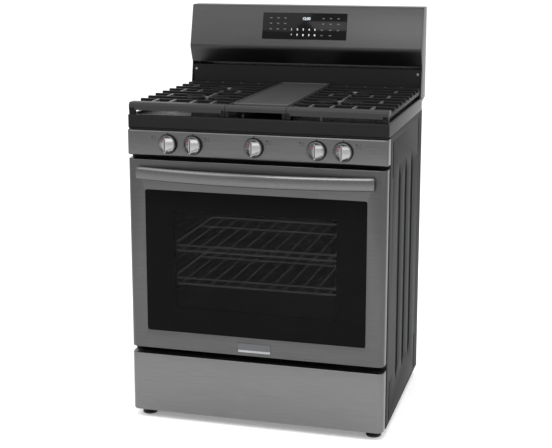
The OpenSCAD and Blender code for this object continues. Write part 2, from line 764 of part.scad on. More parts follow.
base_pan();
side_panels();
rear_panels();
front_frame();
oven_side_walls();
oven_roof();
oven_floor();
oven_back();
rack_guides();
oven_insulation();
oven_burners();
oven_lamp();
fan_cover();
fan_motor();
door_gasket();
hinge_arms();
drawer_rails();
control_panel();
gas_manifold();
valve_bodies();
burner_tubes();
burner_bases();
burner_caps();
cooktop();
pressure_regulator();
backguard_console();
backguard_lower_panel();
backguard_end_caps();
touch_glass();
door_skin();
door_glass_outer();
door_insulation();
door_glass_inner();
door_liner();
door_handle();
handle_brackets();
badge_plate();
drawer_front();
drawer_tray();
knob(0);  // knob_1
knob(1);  // knob_2
knob(2);  // knob_3
knob(3);  // knob_4
knob(4);  // knob_5
valve_stem(0);  // valve_stem_1
valve_stem(1);  // valve_stem_2
valve_stem(2);  // valve_stem_3
valve_stem(3);  // valve_stem_4
valve_stem(4);  // valve_stem_5
grate_left();
grate_right();
grate_centre();
griddle();
fan_blade();
rack(rack_levels[0]);  // rack_lower
rack(rack_levels[1]);  // rack_upper
foot(-1, foot_front_y);  // foot_front_left
foot(1, foot_front_y);  // foot_front_right
foot(-1, foot_rear_y);  // foot_rear_left
foot(1, foot_rear_y);  // foot_rear_right
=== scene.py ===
"""Freestanding gas range: detailed pieces and finishes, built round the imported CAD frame."""

import logging
import math
from dataclasses import dataclass
from enum import Enum
from typing import Callable, Optional, Sequence

import bpy
from mathutils import Matrix, Vector


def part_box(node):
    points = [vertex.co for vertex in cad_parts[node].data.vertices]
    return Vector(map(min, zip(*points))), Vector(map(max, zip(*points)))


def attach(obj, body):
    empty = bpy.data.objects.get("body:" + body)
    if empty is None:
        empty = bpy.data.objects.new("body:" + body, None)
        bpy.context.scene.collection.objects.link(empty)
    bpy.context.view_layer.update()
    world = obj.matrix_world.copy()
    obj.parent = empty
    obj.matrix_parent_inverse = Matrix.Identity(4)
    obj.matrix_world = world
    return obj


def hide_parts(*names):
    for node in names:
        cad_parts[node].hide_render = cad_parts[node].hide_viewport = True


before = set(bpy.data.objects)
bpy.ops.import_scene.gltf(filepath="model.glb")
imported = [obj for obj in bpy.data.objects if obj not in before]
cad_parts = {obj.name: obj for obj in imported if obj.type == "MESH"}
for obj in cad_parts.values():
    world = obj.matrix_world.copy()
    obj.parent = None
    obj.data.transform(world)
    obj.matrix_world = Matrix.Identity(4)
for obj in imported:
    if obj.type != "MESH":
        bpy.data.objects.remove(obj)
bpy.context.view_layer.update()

MM = 0.001
log = logging.getLogger("range")

Test = Callable[[Vector, Vector], bool]


# ------------------------------------------------------------------ small helpers


def linear(hex_colour: str) -> tuple[float, float, float, float]:
    """Turns an sRGB hex colour into the linear values that shaders use.

    Args:
        hex_colour: Colour such as "#6f7072".

    Returns:
        Red, green, blue and alpha, in linear light.
    """
    parts = [int(hex_colour[i : i + 2], 16) / 255 for i in (1, 3, 5)]
    red, green, blue = (c / 12.92 if c <= 0.04045 else ((c + 0.055) / 1.055) ** 2.4 for c in parts)
    return red, green, blue, 1.0


def add_node(
    tree: bpy.types.NodeTree,
    kind: str,
    settings: Optional[dict] = None,
    links: Optional[dict] = None,
) -> bpy.types.Node:
    """Adds a node to a tree with its settings and links.

    Args:
        tree: Node tree of a material or the world.
        kind: Node type, such as "ShaderNodeTexNoise".
        settings: Node attributes by their names, and input values by socket name or number.
        links: Output sockets by the name or number of the input they feed.

    Returns:
        The new node.
    """
    node = tree.nodes.new(kind)
    for key, value in (settings or {}).items():
        if isinstance(key, str) and hasattr(node, key):
            setattr(node, key, value)
        else:
            node.inputs[key].default_value = value
    for key, socket in (links or {}).items():
        tree.links.new(socket, node.inputs[key])
    return node


class Extent:
    """Lowest and highest corners of a CAD node at rest, in metres."""

    def __init__(self, node: str) -> None:
        """Reads the node's box.

        Args:
            node: CAD node's name.
        """
        self.low, self.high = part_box(node)
        self.x0, self.y0, self.z0 = self.low
        self.x1, self.y1, self.z1 = self.high

    @property
    def middle(self) -> Vector:
        """Middle of the box."""
        return (self.low + self.high) / 2


# ------------------------------------------------------------------ finishes


class Pattern(Enum):
    """How the colour of a finish varies over the surface."""

    CLOUD = "cloud"
    CELLS = "cells"
    SPECKS = "specks"
    WEAVE = "weave"
    RINGS = "rings"


@dataclass(frozen=True)
class Finish:
    """A real surface: its colours, gloss and the texture that its making leaves."""

    name: str
    colour: str
    second: str
    roughness: tuple[float, float]
    metallic: float = 0.0
    pattern: Pattern = Pattern.CLOUD
    grain_mm: float = 2.0
    stretch: tuple[float, float, float] = (1.0, 1.0, 1.0)
    centre: tuple[float, float, float] = (0.0, 0.0, 0.0)
    contrast: float = 0.5
    bump: float = 0.1
    bump_mm: float = 0.05
    blotch_mm: float = 140.0
    blotch: float = 0.25
    coat: float = 0.0
    coat_roughness: float = 0.05
    alpha: float = 1.0
    ior: float = 1.5
    glow: float = 0.0
    specular: float = 0.5

    def _pattern(self, tree: bpy.types.NodeTree) -> bpy.types.NodeSocket:
        """Builds the fine pattern of the surface.

        Args:
            tree: Material's node tree.

        Returns:
            A socket from 0 to 1.
        """
        place = add_node(tree, "ShaderNodeTexCoord")
        mapped = add_node(
            tree,
            "ShaderNodeMapping",
            {"vector_type": "TEXTURE", "Location": self.centre, "Scale": self.stretch},
            {"Vector": place.outputs["Object"]},
        ).outputs["Vector"]
        scale = 1.0 / (self.grain_mm * MM)
        if self.pattern is Pattern.CELLS:
            cells = add_node(tree, "ShaderNodeTexVoronoi", {"Scale": scale}, {"Vector": mapped})
            return add_node(
                tree, "ShaderNodeSeparateColor", links={"Color": cells.outputs["Color"]}
            ).outputs["Red"]
        if self.pattern is Pattern.SPECKS:
            cells = add_node(
                tree, "ShaderNodeTexVoronoi", {"Scale": scale, "Randomness": 1.0}, {"Vector": mapped}
            )
            return add_node(
                tree,
                "ShaderNodeMapRange",
                {"From Min": 0.10, "From Max": 0.24, "To Min": 1.0, "To Max": 0.0},
                {"Value": cells.outputs["Distance"]},
            ).outputs["Result"]
        if self.pattern is Pattern.WEAVE:
            across = add_node(
                tree, "ShaderNodeTexWave", {"bands_direction": "X", "Scale": scale}, {"Vector": mapped}
            )
            along = add_node(
                tree, "ShaderNodeTexWave", {"bands_direction": "Z", "Scale": scale}, {"Vector": mapped}
            )
            return add_node(
                tree,
                "ShaderNodeMath",
                {"operation": "MULTIPLY"},
                {0: across.outputs["Fac"], 1: along.outputs["Fac"]},
            ).outputs[0]
        if self.pattern is Pattern.RINGS:
            return add_node(
                tree,
                "ShaderNodeTexWave",
                {
                    "wave_type": "RINGS",
                    "rings_direction": "Y",
                    "Scale": scale / 6,
                    "Distortion": 0.6,
                    "Detail": 2.0,
                },
                {"Vector": mapped},
            ).outputs["Fac"]
        return add_node(
            tree,
            "ShaderNodeTexNoise",
            {"Scale": scale, "Detail": 4.0, "Roughness": 0.62},
            {"Vector": mapped},
        ).outputs["Fac"]

    def material(self) -> bpy.types.Material:
        """Returns the material of this finish, built once."""
        made = bpy.data.materials.get(self.name)
        if made is not None:
            return made
        made = bpy.data.materials.new(self.name)
        made.use_nodes = True
        tree = made.node_tree
        tree.nodes.clear()
        fine = self._pattern(tree)
        place = add_node(tree, "ShaderNodeTexCoord")
        broad = add_node(
            tree,
            "ShaderNodeTexNoise",
            {"Scale": 1.0 / (self.blotch_mm * MM), "Detail": 2.0},
            {"Vector": place.outputs["Object"]},
        ).outputs["Fac"]
        spread = 0.25 / max(self.contrast, 0.01)
        amount = add_node(
            tree,
            "ShaderNodeMapRange",
            {"From Min": 0.5 - spread, "From Max": 0.5 + spread},
            {"Value": fine},
        ).outputs["Result"]
        mixed = add_node(
            tree,
            "ShaderNodeMix",
            {"data_type": "FLOAT", 0: self.blotch},
            {2: amount, 3: broad},
        ).outputs[0]
        colour = add_node(
            tree,
            "ShaderNodeMix",
            {"data_type": "RGBA", 6: linear(self.colour), 7: linear(self.second)},
            {0: mixed},
        ).outputs[2]
        rough = add_node(
            tree,
            "ShaderNodeMapRange",
            {"To Min": self.roughness[0], "To Max": self.roughness[1]},
            {"Value": mixed},
        ).outputs["Result"]
        relief = add_node(
            tree,
            "ShaderNodeBump",
            {"Strength": self.bump, "Distance": self.bump_mm * MM},
            {"Height": fine},
        ).outputs["Normal"]
        settings = {
            "Metallic": self.metallic,
            "IOR": self.ior,
            "Alpha": self.alpha,
            "Coat Weight": self.coat,
            "Coat Roughness": self.coat_roughness,
            "Emission Color": linear(self.colour),
            "Emission Strength": self.glow,
            "Specular IOR Level": self.specular,
        }
        shader = add_node(
            tree,
            "ShaderNodeBsdfPrincipled",
            settings,
            {"Base Color": colour, "Roughness": rough, "Normal": relief},
        )
        add_node(tree, "ShaderNodeOutputMaterial", links={"Surface": shader.outputs["BSDF"]})
        return made


# Stainless sheet with a dark clear tint over a long horizontal brushed grain: soft grey, with fine streaks.
TINTED_STEEL = Finish(
    "tinted_stainless_brushed", "#4a4a4a", "#575757", (0.28, 0.40), 1.0,
    grain_mm=1.1, stretch=(70.0, 1.0, 1.0), contrast=1.6, bump=0.10, bump_mm=0.02, blotch=0.35,
)
# The same steel on the tilted console and its end caps, coloured darker than the door as painted shade.
CONSOLE_STEEL_PAINTED_SHADE = Finish(
    "console_stainless_painted_shade", "#383838", "#434343", (0.28, 0.40), 1.0,
    grain_mm=1.1, stretch=(70.0, 1.0, 1.0), contrast=1.6, bump=0.10, bump_mm=0.02, blotch=0.35,
)
# The same steel on the control panel, coloured lighter than the door as painted light.
PANEL_STEEL_PAINTED_LIGHT = Finish(
    "panel_stainless_painted_light", "#545454", "#616161", (0.28, 0.40), 1.0,
    grain_mm=1.1, stretch=(70.0, 1.0, 1.0), contrast=1.6, bump=0.10, bump_mm=0.02, blotch=0.35,
)
# The same sheet on the drawer, coloured lighter than the door as painted light.
DRAWER_STEEL_PAINTED_LIGHT = Finish(
    "drawer_stainless_painted_light", "#646464", "#727272", (0.30, 0.42), 1.0,
    grain_mm=1.1, stretch=(70.0, 1.0, 1.0), contrast=1.6, bump=0.10, bump_mm=0.02, blotch=0.35,
)
# Extruded aluminium handle, brushed along its length and tinted: a soft bright line along its top.
HANDLE_METAL = Finish(
    "handle_aluminium_brushed", "#575757", "#656565", (0.18, 0.28), 1.0,
    grain_mm=0.8, stretch=(60.0, 1.0, 1.0), contrast=1.5, bump=0.08, bump_mm=0.02,
)
# Die-cast zinc knobs, satin plated; the grip is coloured much lighter than its skirt as a painted highlight
# on its sloping flanks.
KNOB_METAL_PAINTED_HIGHLIGHT = Finish(
    "knob_zinc_painted_highlight", "#969696", "#a4a4a4", (0.22, 0.28), 1.0,
    grain_mm=0.9, contrast=0.4, bump=0.02, bump_mm=0.01,
)
# The round skirt behind the grip, of the same casting, coloured as dark as the panel as painted shade.
SKIRT_METAL_PAINTED_SHADE = Finish(
    "knob_skirt_painted_shade", "#4e4e4e", "#5c5c5c", (0.26, 0.36), 1.0,
    pattern=Pattern.RINGS, grain_mm=1.0, contrast=1.2, bump=0.06, bump_mm=0.02,
)
# Ring behind each knob, coloured near black as painted shade of the gap round the knob.
BEZEL_PAINTED_SHADE = Finish(
    "knob_bezel_painted_shade", "#131314", "#1a1a1b", (0.38, 0.5),
    grain_mm=0.8, bump=0.08, bump_mm=0.03, specular=0.15,
)
# Powder-coated cabinet sides: near black, fine orange peel, satin.
SIDE_PAINT = Finish(
    "cabinet_steel_powder_coated", "#1a1a1b", "#222223", (0.46, 0.58),
    grain_mm=1.4, contrast=1.0, bump=0.18, bump_mm=0.05, blotch=0.4, specular=0.05,
)
# Porcelain enamel fired on the cooktop: deep black, glossy, with a slight wave.
COOKTOP_ENAMEL = Finish(
    "cooktop_porcelain_enamel", "#181818", "#202021", (0.14, 0.22),
    grain_mm=5.0, bump=0.05, bump_mm=0.05, specular=0.04,
)
# The same enamel in the sunken deck, coloured greyer as a painted reflection of the pale surround.
DECK_ENAMEL_PAINTED_REFLECTION = Finish(
    "cooktop_enamel_deck_painted_reflection", "#262627", "#2b2b2c", (0.14, 0.22),
    grain_mm=5.0, bump=0.05, bump_mm=0.05, specular=0.04,
)
# Blue-black enamel with pale specks, as fired on oven liners.
OVEN_ENAMEL = Finish(
    "oven_enamel_speckled", "#0f1012", "#63666b", (0.25, 0.35),
    pattern=Pattern.SPECKS, grain_mm=6.0, contrast=1.0, blotch=0.02, bump=0.04, bump_mm=0.03, specular=0.12,
)
# Grey cast iron under matte enamel: sandy grain, dull sheen.
CAST_IRON = Finish(
    "grate_cast_iron_matte_enamel", "#0c0c0d", "#161617", (0.36, 0.52),
    grain_mm=1.6, contrast=1.4, bump=0.35, bump_mm=0.12, blotch=0.3, blotch_mm=45.0, specular=0.08,
)
# The same casting along its front rail, coloured lighter than the rest as a painted sheen.
NOSE_IRON_PAINTED_SHEEN = Finish(
    "grate_cast_iron_front_painted_sheen", "#202021", "#2b2b2c", (0.36, 0.52),
    grain_mm=1.6, contrast=1.4, bump=0.35, bump_mm=0.12, blotch=0.3, blotch_mm=45.0, specular=0.18,
)
# The same casting on the hubs, their fingers and the short links, coloured lighter and half metallic as
# painted highlights.
HIGHLIGHT_IRON = Finish(
    "grate_cast_iron_painted_highlight", "#58585a", "#737375", (0.26, 0.38), 0.7,
    grain_mm=1.6, contrast=1.2, bump=0.2, bump_mm=0.06, blotch=0.3, blotch_mm=30.0,
)
# The griddle is the same casting, ground flatter on top, coloured lighter than the grates as a painted
# reflection of the pale surround.
GRIDDLE_IRON_PAINTED_REFLECTION = Finish(
    "griddle_cast_iron_painted_reflection", "#2e2e2f", "#3b3b3c", (0.32, 0.44),
    grain_mm=1.2, contrast=1.2, bump=0.22, bump_mm=0.07, blotch=0.45, blotch_mm=70.0, specular=0.24,
)
# Enamelled burner caps.
CAP_ENAMEL = Finish(
    "burner_cap_enamel", "#0c0c0d", "#141415", (0.42, 0.55),
    grain_mm=1.4, bump=0.12, bump_mm=0.05, specular=0.05,
)
# Sand-cast aluminium burner heads, dulled by heat.
BURNER_ALUMINIUM = Finish(
    "burner_aluminium_cast", "#232325", "#343436", (0.45, 0.6), 1.0,
    grain_mm=1.0, contrast=1.3, bump=0.3, bump_mm=0.08,
)
# Float glass, printed black on its back round the window.
PRINTED_GLASS = Finish(
    "door_glass_black_print", "#060607", "#0e0e0f", (0.05, 0.07),
    grain_mm=60.0, bump=0.0, specular=0.03,
)
# The clear part of the window, tinted to hide the oven.
TINTED_GLASS = Finish(
    "door_glass_tinted", "#0a0a0b", "#0e0e0f", (0.04, 0.06),
    grain_mm=60.0, bump=0.0, alpha=0.62, specular=0.05,
)
# Inner pane of the door: clear, with a heat-reflecting film.
INNER_GLASS = Finish(
    "inner_glass_coated", "#16181a", "#1d1f21", (0.05, 0.08),
    grain_mm=80.0, bump=0.0, alpha=0.16, specular=0.2,
)
# Touch panel glass, black behind.
PANEL_GLASS = Finish(
    "touch_panel_glass", "#0a0a0b", "#0e0e0f", (0.08, 0.12),
    grain_mm=40.0, bump=0.0, specular=0.10,
)
# White printed key marks, lit faintly from behind.
KEY_PRINT = Finish(
    "key_print_white", "#d6d8d9", "#c6c8c9", (0.4, 0.5), grain_mm=0.6, bump=0.02, glow=0.3,
)
# Smaller key marks, printed in grey.
ICON_PRINT = Finish(
    "icon_print_grey", "#6e7071", "#626465", (0.4, 0.5), grain_mm=0.6, bump=0.02, glow=0.05,
)
# Clock digits of the display.
DISPLAY_GLOW = Finish(
    "display_digits_lit", "#b9c0c4", "#aab2b7", (0.4, 0.5), grain_mm=0.6, bump=0.0, glow=0.2,
)
# Screen-printed marks on the control panel; the same dark colour paints a shade line down the ridge of each
# knob's grip.
PANEL_PRINT_AND_SHADE = Finish(
    "panel_print_and_painted_shade", "#161617", "#202022", (0.5, 0.6), grain_mm=0.5, bump=0.05, bump_mm=0.01,
)
# Red paint filled into the knob's pointer.
POINTER_RED = Finish(
    "pointer_red_paint", "#80434a", "#723a40", (0.4, 0.5), grain_mm=0.5, bump=0.05, bump_mm=0.01,
)
# Galvanised sheet with its frosty zinc crystals, about 9 mm across.
GALVANISED = Finish(
    "galvanised_sheet_spangled", "#8c8e90", "#9c9ea0", (0.34, 0.46), 1.0,
    pattern=Pattern.CELLS, grain_mm=9.0, contrast=0.5, blotch=0.45, bump=0.05, bump_mm=0.02,
)
# Zinc-plated steel brackets and rails.
ZINC_PLATE = Finish(
    "steel_zinc_plated", "#8e9094", "#a7a9ad", (0.28, 0.4), 1.0,
    grain_mm=2.2, contrast=1.1, bump=0.08, bump_mm=0.02,
)
# Nickel-chrome plated wire of the racks, made to glow faintly as painted light.
CHROME_WIRE_PAINTED_GLOW = Finish(
    "rack_wire_chrome_painted_glow", "#c3c4c6", "#d0d1d3", (0.12, 0.2), 1.0,
    grain_mm=3.0, bump=0.05, bump_mm=0.02, glow=0.34,
)
# Turned brass valve bodies and spindles, with fine tool rings.
TURNED_BRASS = Finish(
    "valve_brass_turned", "#b08d57", "#c2a06a", (0.25, 0.38), 1.0,
    pattern=Pattern.RINGS, grain_mm=1.2, bump=0.1, bump_mm=0.03,
)
# Stove-enamelled fan cover and motor parts, made to glow faintly as painted light.
FAN_PAINTED_GLOW = Finish(
    "fan_enamel_painted_glow", "#3c3e42", "#484a4e", (0.3, 0.42), grain_mm=1.8, bump=0.1, bump_mm=0.04, glow=0.22,
)
# Glass-fibre blanket: pale, matted and dull.
FIBRE_BLANKET = Finish(
    "insulation_glass_fibre", "#6b6a67", "#7d7c78", (0.9, 1.0),
    grain_mm=3.5, contrast=1.3, bump=0.8, bump_mm=1.2,
)
# Braided glass-fibre door seal over a wire core.
BRAIDED_SEAL = Finish(
    "door_seal_braided", "#3c3c3f", "#59595c", (0.75, 0.9),
    pattern=Pattern.WEAVE, grain_mm=2.4, bump=0.6, bump_mm=0.4,
)
# Moulded nylon feet with a fine mould grain.
FOOT_NYLON = Finish(
    "foot_nylon_moulded", "#141415", "#1c1c1d", (0.48, 0.6), grain_mm=0.9, bump=0.2, bump_mm=0.05,
)
# Brushed aluminium plate with a satin clear lacquer.
BADGE_ALUMINIUM = Finish(
    "badge_aluminium_brushed", "#808183", "#a6a7a9", (0.28, 0.4), 1.0,
    grain_mm=0.7, stretch=(40.0, 1.0, 1.0), contrast=1.4, bump=0.08, bump_mm=0.02,
)
# The plate's field inside its border, tinted a little lighter than the door.
BADGE_FIELD = Finish(
    "badge_field_tinted", "#515153", "#5d5e60", (0.28, 0.4), 1.0,
    grain_mm=0.7, stretch=(40.0, 1.0, 1.0), contrast=1.4, bump=0.08, bump_mm=0.02,
)
# Opal glass of the oven lamp.
LAMP_GLASS = Finish(
    "lamp_glass_frosted", "#d9d6cc", "#e6e3da", (0.3, 0.4), grain_mm=2.0, bump=0.05, bump_mm=0.03,
)
# White ceramic of the igniters, slip cast and fired.
IGNITER_CERAMIC = Finish(
    "igniter_alumina_ceramic", "#d8d4ca", "#c9c4b8", (0.35, 0.5), grain_mm=1.0, bump=0.1, bump_mm=0.03,
)
# Plated screw heads.
SCREW_STEEL = Finish(
    "screw_steel_plated", "#77787b", "#8c8d90", (0.28, 0.4), 1.0, grain_mm=0.8, bump=0.1, bump_mm=0.03,
)


# ------------------------------------------------------------------ modelling by hand


class Piece:
    """One mesh shaped with the modelling operators, with its place kept in its vertices."""

    def __init__(self, obj: bpy.types.Object, name: str) -> None:
        """Takes over a freshly added object.

        Args:
            obj: Object to work on.
            name: Its name from now on.
        """
        self.obj = obj
        obj.name = name
        obj.data.name = name

    # -- starting shapes

    @staticmethod
    def fresh() -> None:
        """Leaves edit mode and deselects everything."""
        if bpy.context.object is not None and bpy.context.object.mode != "OBJECT":
            bpy.ops.object.mode_set(mode="OBJECT")
        for other in list(bpy.context.selected_objects):
            other.select_set(False)

    @classmethod
    def block(cls, name: str, low: Sequence[float], high: Sequence[float]) -> "Piece":
        """Adds a rectangular block between two opposite corners.

        Args:
            name: Piece's name.
            low: Lowest corner in metres.
            high: Highest corner in metres.

        Returns:
            The block.
        """
        cls.fresh()
        a, b = Vector(low), Vector(high)
        bpy.ops.mesh.primitive_cube_add(size=1.0, location=(a + b) / 2)
        piece = cls(bpy.context.object, name)
        piece.obj.scale = b - a
        return piece.settle()

    @classmethod
    def rod(
        cls, name: str, start: Sequence[float], end: Sequence[float], radius: float, sides: int = 24
    ) -> "Piece":
        """Adds a round rod from one point to another.

        Args:
            name: Piece's name.
            start: One end in metres.
            end: Other end in metres.
            radius: Radius in metres.
            sides: Number of faces round it.

        Returns:
            The rod.
        """
        cls.fresh()
        a, b = Vector(start), Vector(end)
        turn = (b - a).to_track_quat("Z", "Y").to_euler()
        bpy.ops.mesh.primitive_cylinder_add(
            vertices=sides, radius=radius, depth=(b - a).length, location=(a + b) / 2, rotation=turn
        )
        return cls(bpy.context.object, name).settle()

    @classmethod
    def drawn(cls, name: str, points: Sequence[Sequence[float]], filled: bool = False) -> "Piece":
        """Draws a chain of edges, corner by corner, by extruding one point.

        Args:
            name: Piece's name.
            points: Corners in metres.
            filled: Whether the chain is closed and filled with a face.

        Returns:
            The outline.
        """
        cls.fresh()
        corners = [Vector(p) for p in points]
        bpy.ops.mesh.primitive_plane_add(size=0.001, location=corners[0])
        piece = cls(bpy.context.object, name).settle()
        piece.open_mesh("VERT")
        bpy.ops.mesh.select_all(action="SELECT")
        bpy.ops.mesh.merge(type="CENTER")
        for here, there in zip(corners, corners[1:]):
            bpy.ops.mesh.extrude_region_move(TRANSFORM_OT_translate={"value": there - here})
        if filled:
            bpy.ops.mesh.select_all(action="SELECT")
            bpy.ops.mesh.edge_face_add()
        return piece.shut_mesh()

    @classmethod
    def prism(
        cls, name: str, points: Sequence[Sequence[float]], run: Sequence[float]
    ) -> "Piece":
        """Draws a closed outline and extrudes it.

        Args:
            name: Piece's name.
            points: Corners of the outline in metres.
            run: How far and which way it is extruded.

        Returns:
            The prism.
        """
        piece = cls.drawn(name, points, filled=True)
        piece.open_mesh("FACE")
        bpy.ops.mesh.select_all(action="SELECT")
        bpy.ops.mesh.extrude_region_move(TRANSFORM_OT_translate={"value": Vector(run)})
        return piece.face_outward()

    @classmethod
    def turned(
        cls,
        name: str,
        profile: Sequence[tuple[float, float]],
        base: Sequence[float],
        axis: Sequence[float] = (0.0, 0.0, 1.0),
        steps: int = 48,
    ) -> "Piece":
        """Draws a half profile and spins it round an axis, as on a lathe.

        Args:
            name: Piece's name.
            profile: Radius and height along the axis of each corner, in metres.
            base: Point on the axis where the height is zero.
            axis: Direction of the axis.
            steps: Number of faces round it.

        Returns:
            The turned piece, closed where its profile meets the axis.
        """
        along = Vector(axis).normalized()
        side = along.orthogonal().normalized()
        foot = Vector(base)
        corners = [foot + side * radius + along * height for radius, height in profile]
        piece = cls.drawn(name, corners)
        piece.open_mesh("VERT")
        bpy.ops.mesh.select_all(action="SELECT")
        bpy.ops.mesh.spin(steps=steps, angle=math.tau, center=foot, axis=along)
        bpy.ops.mesh.select_all(action="SELECT")
        bpy.ops.mesh.remove_doubles(threshold=0.00001)
        return piece.face_outward()

    @classmethod
    def wire(
        cls, name: str, points: Sequence[Sequence[float]], radius: float, bend: float = 0.0, sides: int = 2
    ) -> "Piece":
        """Draws a bent wire or tube along a chain of points.

        Args:
            name: Piece's name.
            points: Corners of its centre line in metres.
            radius: Wire's radius in metres.
            bend: Rounding of its corners in metres.
            sides: Roundness of its section, where 2 gives 12 faces.

        Returns:
            The wire as a mesh.
        """
        piece = cls.drawn(name, points)
        if bend > 0:
            last = Vector(points[-1])
            first = Vector(points[0])
            piece.choose_points(lambda p: (p - first).length > 1e-5 and (p - last).length > 1e-5)
            bpy.ops.mesh.bevel(offset=bend, segments=6, affect="VERTICES")
            piece.shut_mesh()
        bpy.ops.object.convert(target="CURVE")
        curve = bpy.context.object
        curve.data.bevel_depth = radius
        curve.data.bevel_resolution = sides
        curve.data.use_fill_caps = True
        bpy.ops.object.convert(target="MESH")
        return cls(bpy.context.object, name)

    @classmethod
    def lettering(cls, name: str, text: str, size: float, place: Matrix) -> "Piece":
        """Sets plain numerals as a flat mesh.

        Args:
            name: Piece's name.
            text: Numerals.
            size: Height of the type in metres.
            place: Matrix that takes the text's own plane to its place.

        Returns:
            The lettering as a mesh.
        """
        cls.fresh()
        bpy.ops.object.text_add()
        written = bpy.context.object
        written.data.body = text
        written.data.size = size
        written.data.align_x = "CENTER"
        written.data.align_y = "CENTER"
        written.data.extrude = 0.05 * MM
        written.data.offset = 0.035 * size
        bpy.ops.object.convert(target="MESH")
        piece = cls(bpy.context.object, name)
        piece.obj.data.transform(place)
        return piece

    # -- edit mode

    def open_mesh(self, mode: str) -> None:
        """Enters edit mode on this piece alone.

        Args:
            mode: "VERT", "EDGE" or "FACE".
        """
        self.fresh()
        self.obj.select_set(True)
        bpy.context.view_layer.objects.active = self.obj
        bpy.context.tool_settings.mesh_select_mode = tuple(mode == m for m in ("VERT", "EDGE", "FACE"))
        bpy.ops.object.mode_set(mode="EDIT")

    def shut_mesh(self) -> "Piece":
        """Leaves edit mode."""
        bpy.ops.object.mode_set(mode="OBJECT")
        return self

    def face_outward(self) -> "Piece":
        """Turns all faces outwards and leaves edit mode."""
        bpy.ops.mesh.select_all(action="SELECT")
        bpy.ops.mesh.normals_make_consistent(inside=False)
        return self.shut_mesh()

    def _clear_flags(self) -> bpy.types.Mesh:
        """Deselects every vertex, edge and face of the mesh."""
        mesh = self.obj.data
        for items in (mesh.vertices, mesh.edges, mesh.polygons):
            items.foreach_set("select", [False] * len(items))
        return mesh

    def _sharp_keys(self) -> set[tuple[int, int]]:
        """Keys of the edges whose two faces meet at more than about 11 degrees."""
        meets: dict[tuple[int, int], list[Vector]] = {}
        for face in self.obj.data.polygons:
            for key in face.edge_keys:
                meets.setdefault(key, []).append(face.normal.copy())
        return {
            key
            for key, normals in meets.items()
            if len(normals) != 2 or normals[0].angle(normals[1], 0.0) > 0.2
        }

    def choose_faces(self, test: Test) -> int:
        """Selects faces by their middle and normal, and stays in edit mode.

        Args:
            test: Gets a face's middle and normal.

        Returns:
            How many faces are selected.
        """
        mesh = self._clear_flags()
        chosen = [face for face in mesh.polygons if test(face.center, face.normal)]
        for face in chosen:
            face.select = True
        self.open_mesh("FACE")
        return len(chosen)

    def choose_edges(self, test: Test) -> int:
        """Selects sharp edges by their middle and direction, and stays in edit mode.

        Args:
            test: Gets an edge's middle and its unit direction.

        Returns:
            How many edges are selected.
        """
        mesh = self._clear_flags()
        sharp = self._sharp_keys()
        count = 0
        for edge in mesh.edges:
            a, b = (mesh.vertices[i].co for i in edge.vertices)
            if edge.key in sharp and test((a + b) / 2, (b - a).normalized()):
                edge.select = True
                count += 1
        self.open_mesh("EDGE")
        return count

    def choose_points(self, test: Callable[[Vector], bool]) -> None:
        """Selects vertices by their place, and stays in edit mode.

        Args:
            test: Gets a vertex's place.
        """
        mesh = self._clear_flags()
        for vertex in mesh.vertices:
            vertex.select = test(vertex.co)
        self.open_mesh("VERT")

    # -- shaping

    def settle(self) -> "Piece":
        """Moves the object's place, turn and size into its mesh."""
        bpy.ops.object.transform_apply(location=True, rotation=True, scale=True)
        return self

    def round_edges(self, width: float, segments: int = 3, test: Optional[Test] = None) -> "Piece":
        """Bevels edges.

        Args:
            width: Width of the rounding in metres.
            segments: Number of steps in it.
            test: Which edges, by middle and direction; all of them if left out.

        Returns:
            This piece.
        """
        if self.choose_edges(test or (lambda middle, way: True)):
            bpy.ops.mesh.bevel(offset=width, segments=segments, affect="EDGES", clamp_overlap=True)
        return self.shut_mesh()

    def inset(self, width: float, depth: float, test: Test) -> "Piece":
        """Insets faces and pushes them along their normals.

        Args:
            width: Width of the border in metres.
            depth: Distance outwards, or inwards when negative.
            test: Which faces.

        Returns:
            This piece.
        """
        if self.choose_faces(test):
            bpy.ops.mesh.inset(thickness=width, depth=0.0)
            if depth:
                normal = Vector()
                bpy.ops.object.mode_set(mode="OBJECT")
                for face in self.obj.data.polygons:
                    if face.select:
                        normal += face.normal * face.area
                bpy.ops.object.mode_set(mode="EDIT")
                bpy.ops.mesh.extrude_region_move(
                    TRANSFORM_OT_translate={"value": normal.normalized() * depth}
                )
        return self.shut_mesh()

    def widen(
        self, factors: Sequence[float], centre: Sequence[float], test: Callable[[Vector], bool]
    ) -> "Piece":
        """Scales vertices about a point.

        Args:
            factors: Scale along X, Y and Z.
            centre: Point that stays put.
            test: Which vertices.

        Returns:
            This piece.
        """
        self.choose_points(test)
        bpy.ops.transform.resize(value=tuple(factors), center_override=tuple(centre))
        return self.shut_mesh()

    def shift(self, offset: Sequence[float], test: Callable[[Vector], bool]) -> "Piece":
        """Moves vertices.

        Args:
            offset: Distance and direction in metres.
            test: Which vertices.

        Returns:
            This piece.
        """
        self.choose_points(test)
        bpy.ops.transform.translate(value=tuple(offset))
        return self.shut_mesh()

    def slice(self, place: Sequence[float], normal: Sequence[float]) -> "Piece":
        """Adds a ring of edges where a plane crosses the piece.

        Args:
            place: Point on the plane.
            normal: Plane's normal.

        Returns:
            This piece.
        """
        self.open_mesh("FACE")
        bpy.ops.mesh.select_all(action="SELECT")
        bpy.ops.mesh.bisect(plane_co=tuple(place), plane_no=tuple(normal))
        return self.shut_mesh()

